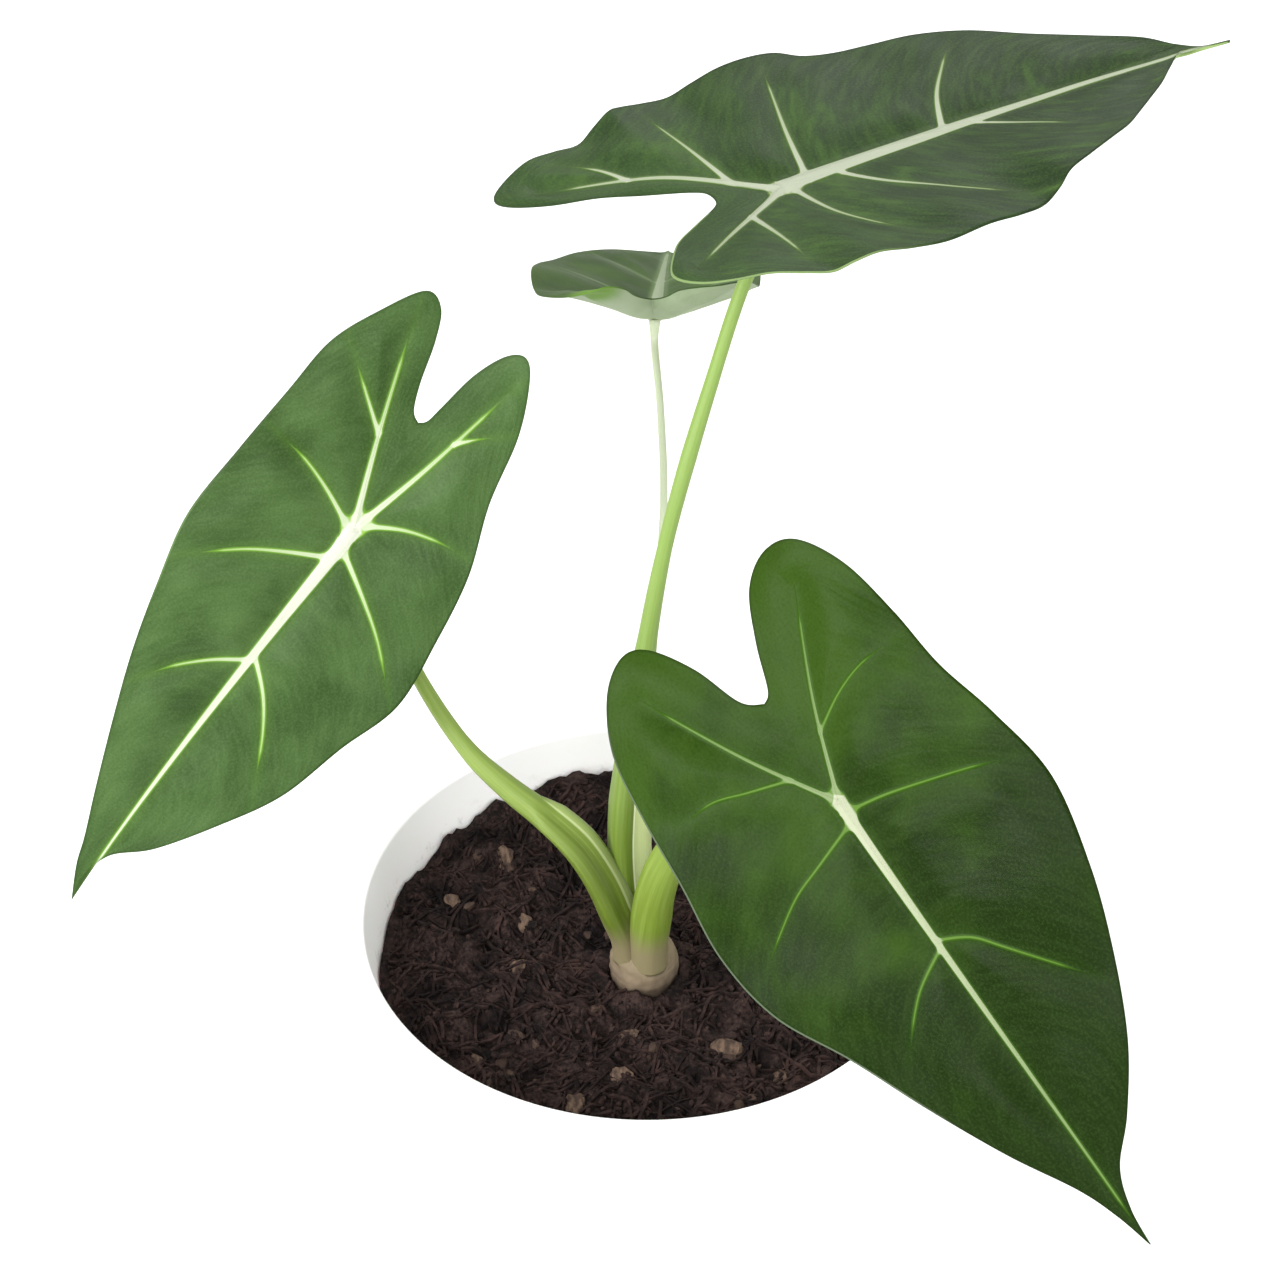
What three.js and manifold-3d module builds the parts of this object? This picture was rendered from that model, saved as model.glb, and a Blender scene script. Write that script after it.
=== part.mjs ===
// Potted alocasia with four arrow-shaped leaves, in millimetres.
// The origin is the centre of the flat underside of the pot, and +Z is up.
import * as THREE from 'three';
import Module from 'manifold-3d';

// Pot
const POT_HEIGHT = 135;
const RIM_INNER_R = 73;
const BASE_R = 54;
const POT_WALL = 1.6;
const POT_FLOOR = 2.4;
const RIM_BAND_HEIGHT = 9;
const RIM_BAND_OUT = 2.2;
const POT_SIDES = 56;
const DRAIN_COUNT = 6;
const DRAIN_R = 4.5;
const DRAIN_RING_R = 34;

// Soil
const GAP = 0.3;
const SOIL_TOP = 118;
const SOIL_RINGS = 12;
const SOIL_SECTORS = 36;
const CHIP_COUNT = 16;

// Corm, the short stem base that all leaf stalks rise from
const CORM_X = -0.6;
const CORM_Y = -7;
const CORM_R = 9.3;
const CORM_BOTTOM = 104;
const CORM_TOP = 130;

// Leaves
const BLADE_THICK = 0.95;
const MARGIN_THICK = 0.8;
const KEEL_HALF_WIDTH = 2;
const STALK_CLEARANCE = 0.35;
const RIB_CLEARANCE = 0.34;
const STALK_RINGS = 26;
const STALK_SIDES = 12;

const wasm = await Module();
wasm.setup();

// A closed geometry from corner positions and triangles of their indices.
function closedGeometry(corners, triangles) {
  const geometry = new THREE.BufferGeometry();
  geometry.setAttribute('position', new THREE.Float32BufferAttribute(corners.flat(), 3));
  geometry.setIndex(triangles.flat());
  return geometry;
}

// Joins corners that lie at one place, so that a swept or turned shape closes.
function weld(geometry) {
  const place = geometry.attributes.position;
  const seen = new Map();
  const corners = [];
  const rename = [];
  for (let i = 0; i < place.count; i += 1) {
    const corner = [place.getX(i), place.getY(i), place.getZ(i)];
    const key = corner.map((c) => Math.round(c * 1e4)).join(',');
    if (!seen.has(key)) {
      seen.set(key, corners.length);
      corners.push(corner);
    }
    rename.push(seen.get(key));
  }
  const order = geometry.index ? [...geometry.index.array] : rename.map((value, i) => i);
  const triangles = [];
  for (let i = 0; i < order.length; i += 3) {
    const [a, b, c] = [rename[order[i]], rename[order[i + 1]], rename[order[i + 2]]];
    if (a !== b && b !== c && c !== a) {
      triangles.push([a, b, c]);
    }
  }
  return closedGeometry(corners, triangles);
}

function toSolid(geometry) {
  const welded = weld(geometry);
  return new wasm.Manifold(new wasm.Mesh({
    numProp: 3,
    vertProperties: new Float32Array(welded.attributes.position.array),
    triVerts: new Uint32Array(welded.index.array),
  }));
}

function fromSolid(solid) {
  const mesh = solid.getMesh();
  const geometry = new THREE.BufferGeometry();
  geometry.setAttribute('position', new THREE.Float32BufferAttribute(mesh.vertProperties, 3));
  geometry.setIndex([...mesh.triVerts]);
  return geometry;
}

function named(name, geometry, material) {
  const mesh = new THREE.Mesh(geometry, material);
  mesh.name = name;
  return mesh;
}

// A repeatable spread of values from 0 to 1.
function scatter(index, salt) {
  const wave = Math.sin(index * 12.9898 + salt * 78.233) * 43758.5453;
  return wave - Math.floor(wave);
}

function mix(a, b, share) {
  return a + (b - a) * share;
}

function turned(profile, sides) {
  const outline = profile.map(([r, z]) => new THREE.Vector2(r, z));
  return new THREE.LatheGeometry(outline, sides).rotateX(Math.PI / 2);
}

// Materials
function potPlastic() {
  return new THREE.MeshStandardMaterial({ color: 0xe9eae8, roughness: 0.45, metalness: 0 });
}

function darkSoil() {
  return new THREE.MeshStandardMaterial({ color: 0x33221c, roughness: 0.95, metalness: 0 });
}

function cormSkin() {
  return new THREE.MeshStandardMaterial({ color: 0x9a8070, roughness: 0.8, metalness: 0 });
}

function stalkGreen() {
  return new THREE.MeshStandardMaterial({ color: 0xa3c45c, roughness: 0.5, metalness: 0 });
}

function bladeGreen() {
  return new THREE.MeshStandardMaterial({ color: 0x2b5229, roughness: 0.55, metalness: 0 });
}

function ribCream() {
  return new THREE.MeshStandardMaterial({ color: 0xdde8b0, roughness: 0.5, metalness: 0 });
}

// Inner radius of the pot wall at a height.
function potInnerR(z) {
  return mix(BASE_R - POT_WALL, RIM_INNER_R, z / POT_HEIGHT);
}

function makePot() {
  const outerAt = (z) => potInnerR(z) + POT_WALL;
  const top = POT_HEIGHT;
  const bandFoot = top - RIM_BAND_HEIGHT;
  const profile = [
    [0, 0],
    [BASE_R - 1.5, 0],
    [BASE_R, 1.5],
    [outerAt(bandFoot), bandFoot],
    [outerAt(bandFoot) + RIM_BAND_OUT, bandFoot],
    [outerAt(top) + RIM_BAND_OUT - 0.4, top - 1],
    [outerAt(top) + RIM_BAND_OUT - 1.2, top],
    [RIM_INNER_R + 0.8, top],
    [RIM_INNER_R, top - 0.8],
    [potInnerR(POT_FLOOR + 1.5), POT_FLOOR + 1.5],
    [potInnerR(POT_FLOOR) - 1.5, POT_FLOOR],
    [0, POT_FLOOR],
  ];
  let pot = toSolid(turned(profile, POT_SIDES));
  for (let i = 0; i < DRAIN_COUNT; i += 1) {
    const angle = (2 * Math.PI * (i + 0.5)) / DRAIN_COUNT;
    const hole = new THREE.CylinderGeometry(DRAIN_R, DRAIN_R, POT_FLOOR + 4, 16).rotateX(Math.PI / 2);
    hole.translate(DRAIN_RING_R * Math.cos(angle), DRAIN_RING_R * Math.sin(angle), POT_FLOOR / 2);
    pot = pot.subtract(toSolid(hole));
  }
  return named('pot', fromSolid(pot), potPlastic());
}

// The corm is a squat stub with a domed top; grow widens it all round.
function cormGeometry(grow) {
  const profile = [
    [0, CORM_BOTTOM - grow],
    [CORM_R * 0.45 + grow, CORM_BOTTOM - grow],
    [CORM_R * 0.85 + grow, CORM_BOTTOM + 3],
    [CORM_R + grow, CORM_BOTTOM + 8],
    [CORM_R * 0.96 + grow, SOIL_TOP],
    [CORM_R + grow, SOIL_TOP + 5],
    [CORM_R * 0.94 + grow, CORM_TOP - 4],
    [CORM_R * 0.72 + grow, CORM_TOP - 1.4],
    [CORM_R * 0.4, CORM_TOP + grow - 0.2],
    [0, CORM_TOP + grow],
  ];
  return turned(profile, 26).translate(CORM_X, CORM_Y, 0);
}

function makeCorm() {
  return named('corm', weld(cormGeometry(0)), cormSkin());
}

// Height of the soil surface: a low heap at the back, lumps and crumbs.
function soilHeight(x, y) {
  const heap = 5.3 * Math.max(0, y / RIM_INNER_R) ** 2;
  const lumps = 1.3 * Math.sin(x * 0.21 + 1.3 * Math.sin(y * 0.13)) * Math.sin(y * 0.19 + 0.7);
  const crumbs = 0.9 * Math.sin(x * 0.67 + y * 0.31) * Math.cos(y * 0.59 - x * 0.23 + 0.9);
  return SOIL_TOP + heap + lumps + crumbs;
}

function soilBody() {
  const corners = [];
  const triangles = [];
  const topR = potInnerR(SOIL_TOP) - GAP - 0.35;
  const floorR = potInnerR(POT_FLOOR) - 1.5 - GAP;
  const floorZ = POT_FLOOR + GAP;
  corners.push([0, 0, soilHeight(0, 0)]);
  for (let ring = 1; ring <= SOIL_RINGS; ring += 1) {
    for (let k = 0; k < SOIL_SECTORS; k += 1) {
      const angle = (2 * Math.PI * (k + 0.5 * (ring % 2))) / SOIL_SECTORS;
      const r = (topR * ring) / SOIL_RINGS;
      const [x, y] = [r * Math.cos(angle), r * Math.sin(angle)];
      corners.push([x, y, soilHeight(x, y) - (ring === SOIL_RINGS ? 1.2 : 0)]);
    }
  }
  const at = (ring, k) => (ring === 0 ? 0 : 1 + (ring - 1) * SOIL_SECTORS + (k % SOIL_SECTORS));
  for (let k = 0; k < SOIL_SECTORS; k += 1) {
    triangles.push([0, at(1, k), at(1, k + 1)]);
    for (let ring = 1; ring < SOIL_RINGS; ring += 1) {
      const shift = ring % 2;
      triangles.push([at(ring, k), at(ring + 1, k + shift), at(ring, k + 1)]);
      triangles.push(shift
        ? [at(ring, k), at(ring + 1, k), at(ring + 1, k + 1)]
        : [at(ring, k + 1), at(ring + 1, k), at(ring + 1, k + 1)]);
    }
  }
  const floorStart = corners.length;
  for (let k = 0; k < SOIL_SECTORS; k += 1) {
    const angle = (2 * Math.PI * (k + 0.5 * (SOIL_RINGS % 2))) / SOIL_SECTORS;
    corners.push([floorR * Math.cos(angle), floorR * Math.sin(angle), floorZ]);
  }
  corners.push([0, 0, floorZ]);
  const centre = corners.length - 1;
  for (let k = 0; k < SOIL_SECTORS; k += 1) {
    const next = (k + 1) % SOIL_SECTORS;
    triangles.push([at(SOIL_RINGS, k), floorStart + k, floorStart + next]);
    triangles.push([at(SOIL_RINGS, k), floorStart + next, at(SOIL_RINGS, k + 1)]);
    triangles.push([centre, floorStart + next, floorStart + k]);
  }
  return toSolid(closedGeometry(corners, triangles));
}

// A bark chip is a flattened rough lump, half sunk in the soil.
function barkChip(index) {
  const chip = new THREE.DodecahedronGeometry(1, 0);
  chip.scale(mix(3.2, 6, scatter(index, 1)), mix(2.2, 3.6, scatter(index, 2)), mix(1.4, 2.2, scatter(index, 3)));
  chip.rotateX(mix(-0.4, 0.4, scatter(index, 4)));
  chip.rotateY(mix(-0.4, 0.4, scatter(index, 5)));
  chip.rotateZ(2 * Math.PI * scatter(index, 6));
  const r = mix(20, 62, Math.sqrt(scatter(index, 7)));
  const angle = index * 2.39996;
  const [x, y] = [r * Math.cos(angle), r * Math.sin(angle)];
  chip.translate(x, y, soilHeight(x, y) + 0.5);
  return toSolid(chip);
}

function makeSoil() {
  let soil = soilBody();
  for (let i = 0; i < CHIP_COUNT; i += 1) {
    soil = soil.add(barkChip(i));
  }
  soil = soil.subtract(toSolid(cormGeometry(GAP)));
  return named('soil', fromSolid(soil), darkSoil());
}

// Leaf shapes lie flat in x and y: x runs along the midrib from the stalk joint to the tip, +y is the
// leaf's left side seen from above with the tip away. Margins run from the tip to the notch between
// the two back lobes, and the third number is how far the margin waves up or down there. Ribs are
// lines on the blade, each with its width at both ends.
const LEFT_LEAF = {
  joint: [-70.2, 18, 241],
  heading: -149.7,
  droop: 43.2,
  roll: -62.3,
  fold: 0.1,
  arch: 9,
  lobeLift: [3, 0],
  leftMargin: [
    [119, 4.5, 0], [111, 3, 0.2], [103, 4.5, 0.1], [95, 12, -0.6], [80, 20, 0.6], [64, 27.5, 0.2],
    [45.5, 31.5, -0.8], [28, 35, 1.2], [10, 33, -1.2], [-8, 28.5, 0.9], [-25, 21.5, -0.1], [-41.5, 17, -0.8],
    [-53, 11, 1], [-58, 6.5, 0.8], [-55.5, 2.5, 0.1], [-47, -0.5, -0.6], [-36, -2, -0.1], [-30, -4, 0],
  ],
  rightMargin: [
    [119, 4.5, 0], [110, -0.5, 0.3], [102.5, -3.5, 0], [90.5, -9, -0.8], [72.5, -17, 1.3], [56, -23.5, -1.2],
    [38, -29.5, 0.9], [20, -34, -0.3], [0, -34, -0.1], [-18, -33.5, 0.7], [-33, -32.5, -1.2], [-46, -28, 0.6],
    [-56, -22.5, 1.1], [-55, -17, 0.3], [-48, -13, -0.5], [-38, -9.5, -0.3], [-30, -4, 0],
  ],
  lobes: [[-49, 8.5], [-47, -19.5]],
  lobeTurns: [[-22, 4.5], [-24, -10.5]],
  midrib: { widths: [3.6, 0.9] },
  basal: { widths: [2, 0.8] },
  ribs: [
    { line: [[-22, -10], [-28, -18], [-33, -25]], widths: [1.2, 0.7] },
    { line: [[-31, 5.5], [-35, 9], [-39, 13]], widths: [1, 0.7] },
    { line: [[1, -0.5], [-4, -11], [-7, -20], [-8, -27]], widths: [1.5, 0.7] },
    { line: [[9, -0.5], [14, -10], [19, -18], [26, -26]], widths: [1.5, 0.7] },
    { line: [[41, 0], [46, -7], [52, -13], [58, -17]], widths: [1.3, 0.7] },
    { line: [[-1, 1], [-7, 9], [-10, 17], [-11, 23]], widths: [1.5, 0.7] },
    { line: [[5, 0.5], [12, 12], [18, 21], [25, 29]], widths: [1.5, 0.7] },
    { line: [[39, 0], [46, 8], [54, 14], [63, 19]], widths: [1.3, 0.7] },
  ],
};

const RIGHT_LEAF = {
  joint: [42.1, -59.3, 221.9],
  heading: -53.1,
  droop: 27,
  roll: 48.1,
  fold: 0.07,
  arch: 11,
  lobeLift: [-2, 0],
  leftMargin: [
    [114, -2, 0], [105.5, -0.5, 0], [97.5, 3, -0.4], [89.5, 11.5, -0.1], [77, 22, 1], [60.5, 30.5, -1.2],
    [44, 38, 1], [24, 42.5, -0.7], [6, 40.5, 0], [-10, 37, 0.8], [-26, 35, -1.2], [-41.5, 32.5, 0.6],
    [-53, 26.5, 0.9], [-56, 18.5, -0.3], [-51.5, 10.5, -0.9], [-40.5, 5, 0.1], [-30, 1, 0.1], [-28, -1.5, 0],
  ],
  rightMargin: [
    [114, -2, 0], [105.5, -4, -0.1], [96.5, -7.5, -0.5], [82.5, -15, 0.6], [65, -23.5, -0.2], [47, -31.3, -0.3],
    [30, -39.5, 0.8], [12, -43, -1.2], [-6, -40.5, 1.1], [-24, -40, -0.6], [-40, -37.5, -0.3],
    [-51.5, -30.5, 1.2], [-57, -23, 0.3], [-55, -17, -0.7], [-44.5, -10.5, -0.3], [-32, -6, 0.2], [-28, -1.5, 0],
  ],
  lobes: [[-45, 20], [-46.5, -25]],
  lobeTurns: [[-22, 8.5], [-21, -12.5]],
  midrib: { widths: [3.2, 0.9] },
  basal: { widths: [1.8, 0.8] },
  ribs: [
    { line: [[-15, 5.5], [-19, 14], [-21, 22], [-21, 30]], widths: [1.2, 0.7] },
    { line: [[-10, -7.5], [-14, -16], [-17, -24], [-17, -32]], widths: [1.2, 0.7] },
    { line: [[3, 0.5], [5, 9], [8, 18], [12, 29], [15, 36]], widths: [1.3, 0.7] },
    { line: [[5, -0.5], [9, -12], [12, -21], [19, -33]], widths: [1.3, 0.7] },
    { line: [[37, 0], [41, 7], [47, 12], [60, 22]], widths: [1.2, 0.7] },
    { line: [[39, 0], [43, -8], [47, -13], [53, -19]], widths: [1.2, 0.7] },
  ],
};

const TOP_LEAF = {
  joint: [31.8, 54.2, 313.3],
  heading: 30.8,
  droop: -4.2,
  roll: 2.9,
  fold: 0.17,
  arch: 1,
  lobeLift: [0, 2],
  leftMargin: [
    [131, -5, 0], [124, -3, -0.3], [118, 0.5, 0.6], [112, 6.5, 1], [101, 14, 0.3], [88, 22, -0.2],
    [75, 30, -0.3], [62, 34.5, -0.3], [50, 37.5, -1.4], [41, 39.5, -2], [33, 41.5, -1.6], [26, 43.5, 0.2],
    [18, 44, 1.1], [10, 44.5, 0.5], [2, 44, -0.8], [-5, 43.5, -2.1], [-12, 43, -1], [-19, 42, 0.9],
    [-23, 41, 1.7], [-28, 40, -0.6], [-33, 38.5, -2.4], [-40, 37.5, -1.2], [-48, 36, 0], [-56, 33, -0.8],
    [-61.5, 28, -0.2], [-60, 23.5, 0.5], [-51, 19.5, 0.5], [-40, 17, 0.2], [-30, 13.5, -0.5], [-20, 8.5, -0.2],
    [-17, 3, 0],
  ],
  rightMargin: [
    [131, -5, 0], [124, -4.2, 0.2], [117, -2.8, 0.4], [110, -7.3, 0], [103, -12.5, -0.6], [95, -18, -0.3],
    [87, -23.5, 0.2], [78, -30, 1.5], [70, -34, 2.2], [60, -38.5, 2.7], [52, -41, 1.8], [47, -43.5, -0.5],
    [41, -45.5, -2.5], [33, -47, -1.7], [24, -47.5, -0.6], [13, -47.5, -1], [4, -46, -0.2], [-4, -45, 1.3],
    [-10, -44, 0.4], [-15, -43, -0.9], [-21, -41, 0.1], [-28, -38, 1.2], [-35, -35, 0.7], [-40.5, -31, 0],
    [-44, -26.5, 0], [-44, -22, 0.2], [-40, -16, 0.8], [-33.5, -8, 0], [-25, -2, 0], [-17, 3, 0],
  ],
  lobes: [[-51, 24.5], [-37.5, -23]],
  lobeTurns: [[-23, 16.5], [-21, -12]],
  midrib: { widths: [3.6, 0.9] },
  basal: { widths: [2, 0.8] },
  ribs: [
    { line: [[-9, 8.5], [-12, 23], [-14.5, 35], [-15, 39]], widths: [1.3, 0.7] },
    { line: [[-30.5, 19.8], [-35, 25], [-41, 30]], widths: [1, 0.7] },
    { line: [[-13, -8.5], [-15, -21], [-16, -31], [-17, -36]], widths: [1.3, 0.7] },
    { line: [[7, 0.5], [11.5, 16], [17, 32], [19, 38]], widths: [1.4, 0.7] },
    { line: [[46, 0], [52, 11], [60, 20], [66, 26]], widths: [1.4, 0.7] },
    { line: [[2, -0.5], [2, -17], [5, -28], [9, -36]], widths: [1.3, 0.7] },
    { line: [[14, -0.5], [20, -15], [29, -27], [39, -36]], widths: [1.4, 0.7] },
    { line: [[54, 0], [61.5, -10], [70, -20]], widths: [1.2, 0.7] },
  ],
};

const BACK_LEAF = {
  joint: [2.4, 114, 245.5],
  heading: 87,
  droop: 15,
  roll: 0,
  fold: 0.33,
  arch: 5.5,
  lobeLift: [18, 18],
  leftMargin: [
    [92, 0, 0], [85, 1.5, 0.2], [79, 5.5, 0.3], [66, 15.5, -0.4], [50, 24, -1.5], [33, 30, -2.6],
    [17, 33, -1.3], [2, 33.5, 0], [-12, 31.5, -2.6], [-25, 28.5, -4], [-36, 22, -3], [-42.5, 16, -0.6],
    [-42, 10.5, 3], [-35, 6.5, 4.5], [-26, 4, 4.2], [-18, 0, 4.5],
  ],
  rightMargin: [
    [92, 0, 0], [85, -1.3, 0.2], [79, -5, 0.3], [66, -14, 0], [50, -21.5, 0.4], [33, -26, 0], [17, -27.8, -0.4],
    [2, -28, 0.6], [-12, -27.3, 1.3], [-25, -25.5, 2], [-36, -22, 2], [-43, -17.5, 1.9],
    [-42.5, -12, 3], [-35, -7.5, 4.2], [-26, -4, 4.2], [-18, 0, 4.5],
  ],
  lobes: [[-35.5, 15], [-36, -15.5]],
  lobeTurns: [[-17, 7], [-17, -7]],
  midrib: { widths: [3, 0.8] },
  basal: { widths: [1.6, 0.8] },
  ribs: [
    { line: [[-8, 3.5], [-10, 14], [-12, 24]], widths: [1.1, 0.7] },
    { line: [[-8, -3.5], [-10, -14], [-12, -24]], widths: [1.1, 0.7] },
    { line: [[6, 0.5], [11, 12], [18, 24]], widths: [1.2, 0.7] },
    { line: [[7, -0.5], [12, -12], [19, -23]], widths: [1.2, 0.7] },
    { line: [[33, 0], [40, 9], [49, 17]], widths: [1.1, 0.7] },
    { line: [[35, 0], [42, -9], [50, -16]], widths: [1.1, 0.7] },
  ],
};

const TIP_ROWS = 16;
const LOBE_ROWS = 5;
const ROW_SHARES = [0.36, 0.7, 1];

function flatCurve(points) {
  return new THREE.SplineCurve(points.map(([x, y]) => new THREE.Vector2(x, y)));
}

// How far along a margin, from 0 to 1, the point nearest to a place is.
function shareNear(curve, x, y) {
  let best = 0;
  let least = Infinity;
  for (let i = 0; i <= 240; i += 1) {
    const point = curve.getPointAt(i / 240);
    const away = (point.x - x) ** 2 + (point.y - y) ** 2;
    if (away < least) {
      least = away;
      best = i / 240;
    }
  }
  return best;
}

// Rows of one half of a blade, each from a place on its ribs to a place on its margin.
function halfRows(leaf, side) {
  const outline = side === 0 ? leaf.leftMargin : leaf.rightMargin;
  const margin = flatCurve(outline);
  const waves = flatCurve(outline.map(([, , z]) => [z, 0]));
  const [tipX, tipY] = leaf.leftMargin[0];
  const [lobeX, lobeY] = leaf.lobes[side];
  const basal = flatCurve([[0, 0], leaf.lobeTurns[side], leaf.lobes[side]]);
  const sign = side === 0 ? 1 : -1;
  const widest = Math.max(...outline.map(([, y]) => sign * y));
  const atJoint = shareNear(margin, 2, sign * widest);
  const atLobe = shareNear(margin, lobeX * 1.3, lobeY * 1.25);
  const turn = (1 - atJoint) * 0.14;
  const rows = [];
  const add = (x, y, share, reach) => {
    const spot = margin.getUtoTmapping(Math.min(1, share));
    const edge = margin.getPoint(spot);
    const wave = waves.getPoint(spot).x;
    rows.push({ x, y, edgeX: edge.x, edgeY: edge.y, share, wave, keel: reach });
  };
  for (let k = 0; k <= TIP_ROWS; k += 1) {
    const along = 1 - k / TIP_ROWS;
    add(tipX * along, tipY * along ** 3, (atJoint * k) / TIP_ROWS, 0.15 + 1.5 * (1 - along));
  }
  for (let k = 1; k <= LOBE_ROWS; k += 1) {
    const spot = basal.getPoint(k / LOBE_ROWS);
    add(spot.x, spot.y, mix(atJoint, atLobe - turn, k / LOBE_ROWS), 1.1 * (1 - k / LOBE_ROWS));
  }
  for (const share of [-0.5, 0, 0.5, 1]) {
    add(lobeX, lobeY, atLobe + turn * share, 0);
  }
  for (let k = 1; k < LOBE_ROWS; k += 1) {
    const spot = basal.getPoint(1 - k / LOBE_ROWS);
    add(spot.x, spot.y, mix(atLobe + turn, 1, k / LOBE_ROWS), 1.1 * (k / LOBE_ROWS));
  }
  add(0, 0, 1, 1.65);
  return rows;
}

// Height of the blade over its flat shape; out runs from rib to margin along a row.
function bladeHeight(leaf, x, y, row, out) {
  const fold = leaf.fold * (Math.sqrt(y * y + 16) - 4);
  const ahead = Math.max(0, x) / leaf.leftMargin[0][0];
  const behind = Math.sqrt((Math.max(0, -x) / 50) ** 2 + 0.04) - 0.2;
  const sideways = 0.5 + 0.5 * Math.max(-1, Math.min(1, y / 20));
  const lift = mix(leaf.lobeLift[1], leaf.lobeLift[0], sideways) * behind;
  const fade = Math.min(1, 5 * row.share, 6 * (1 - row.share));
  const puff = 0.8 * fade * Math.sin(Math.PI * out) * (0.6 + 0.4 * Math.cos(12 * Math.PI * row.share));
  return fold - leaf.arch * ahead ** 2 + lift + row.wave * out ** 2 + puff;
}

// The blade's upper face as corners and triangles, with the thickness below each corner.
function bladeSheet(leaf) {
  const corners = [];
  const depths = [];
  const seen = new Map();
  const triangles = [];
  const corner = (row, out) => {
    const x = mix(row.x, row.edgeX, out);
    const y = mix(row.y, row.edgeY, out);
    const key = `${Math.round(x * 1e3)},${Math.round(y * 1e3)}`;
    if (!seen.has(key)) {
      seen.set(key, corners.length);
      corners.push([x, y, bladeHeight(leaf, x, y, row, out)]);
      depths.push(out === 0 ? BLADE_THICK + row.keel : mix(BLADE_THICK, MARGIN_THICK, out));
    }
    return seen.get(key);
  };
  for (const side of [0, 1]) {
    const rows = halfRows(leaf, side).map((row) => {
      const length = Math.hypot(row.edgeX - row.x, row.edgeY - row.y);
      const nearRib = Math.min(0.25, KEEL_HALF_WIDTH / Math.max(length, 1e-6));
      return [0, nearRib, ...ROW_SHARES].map((out) => corner(row, length < 1e-6 ? 0 : out));
    });
    for (let i = 0; i + 1 < rows.length; i += 1) {
      for (let j = 0; j + 1 < rows[i].length; j += 1) {
        const [a, b, c, d] = [rows[i][j], rows[i][j + 1], rows[i + 1][j + 1], rows[i + 1][j]];
        for (const face of [[a, b, c], [a, c, d]]) {
          if (new Set(face).size === 3) {
            triangles.push(side === 0 ? face : [face[0], face[2], face[1]]);
          }
        }
      }
    }
  }
  return { corners, depths, triangles };
}

function bladeGeometry(sheet) {
  const count = sheet.corners.length;
  const corners = [
    ...sheet.corners,
    ...sheet.corners.map(([x, y, z], i) => [x, y, z - sheet.depths[i]]),
  ];
  const triangles = [
    ...sheet.triangles,
    ...sheet.triangles.map(([a, b, c]) => [a + count, c + count, b + count]),
  ];
  const edges = new Set(sheet.triangles.flatMap(([a, b, c]) => [`${a},${b}`, `${b},${c}`, `${c},${a}`]));
  for (const edge of edges) {
    const [a, b] = edge.split(',').map(Number);
    if (!edges.has(`${b},${a}`)) {
      triangles.push([a, a + count, b + count], [a, b + count, b]);
    }
  }
  return closedGeometry(corners, triangles);
}

// Height of the faceted upper face at a place.
function heightOn(sheet, x, y) {
  for (const [a, b, c] of sheet.triangles) {
    const [p, q, r] = [sheet.corners[a], sheet.corners[b], sheet.corners[c]];
    const area = (q[0] - p[0]) * (r[1] - p[1]) - (r[0] - p[0]) * (q[1] - p[1]);
    const u = ((x - p[0]) * (r[1] - p[1]) - (r[0] - p[0]) * (y - p[1])) / area;
    const v = ((q[0] - p[0]) * (y - p[1]) - (x - p[0]) * (q[1] - p[1])) / area;
    if (u >= -1e-9 && v >= -1e-9 && u + v <= 1 + 1e-9) {
      return p[2] + u * (q[2] - p[2]) + v * (r[2] - p[2]);
    }
  }
  return null;
}

// A rib is a low rounded strip that follows the upper face.
function ribSolid(sheet, line, widths, step, clearance, height) {
  const curve = flatCurve(line);
  const count = Math.max(3, Math.round(curve.getLength() / step));
  const corners = [];
  const triangles = [];
  for (let i = 0; i <= count; i += 1) {
    const share = i / count;
    const spot = curve.getPointAt(share);
    const along = curve.getTangentAt(share);
    const half = mix(widths[0], widths[1], share) / 2;
    const tall = height * mix(1, 0.55, share);
    const across = (k) => [spot.x - along.y * k * half, spot.y + along.x * k * half];
    const floors = [-1, 0, 1].map((k) => heightOn(sheet, ...across(k)));
    const floor = (k) => floors[k + 1] + clearance;
    corners.push([...across(1), floor(1)]);
    corners.push([...across(0.6), mix(floor(0), floor(1), 0.6) + tall * 0.8]);
    corners.push([...across(0), Math.max(floor(0), (floor(1) + floor(-1)) / 2) + tall]);
    corners.push([...across(-0.6), mix(floor(0), floor(-1), 0.6) + tall * 0.8]);
    corners.push([...across(-1), floor(-1)]);
    corners.push([...across(0), floor(0)]);
  }
  for (let i = 0; i < count; i += 1) {
    for (let k = 0; k < 6; k += 1) {
      const [a, b] = [i * 6 + k, i * 6 + ((k + 1) % 6)];
      triangles.push([a, b, a + 6], [b, b + 6, a + 6]);
    }
  }
  for (let k = 1; k < 5; k += 1) {
    triangles.push([0, k + 1, k], [count * 6, count * 6 + k, count * 6 + k + 1]);
  }
  return toSolid(closedGeometry(corners, triangles));
}

function ribsGeometry(leaf, sheet) {
  const tip = leaf.leftMargin[0][0];
  const main = [[-2.5, 0], [0.2 * tip, 0], [0.5 * tip, 0], [0.86 * tip, 0]];
  let ribs = ribSolid(sheet, main, leaf.midrib.widths, 7, RIB_CLEARANCE, 1.1);
  for (const side of [0, 1]) {
    const line = [[0, 0], leaf.lobeTurns[side], leaf.lobes[side]];
    ribs = ribs.add(ribSolid(sheet, line, leaf.basal.widths, 6.5, RIB_CLEARANCE + 0.05, 0.9));
  }
  for (const rib of leaf.ribs) {
    ribs = ribs.add(ribSolid(sheet, rib.line, rib.widths, 6.5, RIB_CLEARANCE + 0.1, 0.65));
  }
  return fromSolid(ribs);
}

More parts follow.
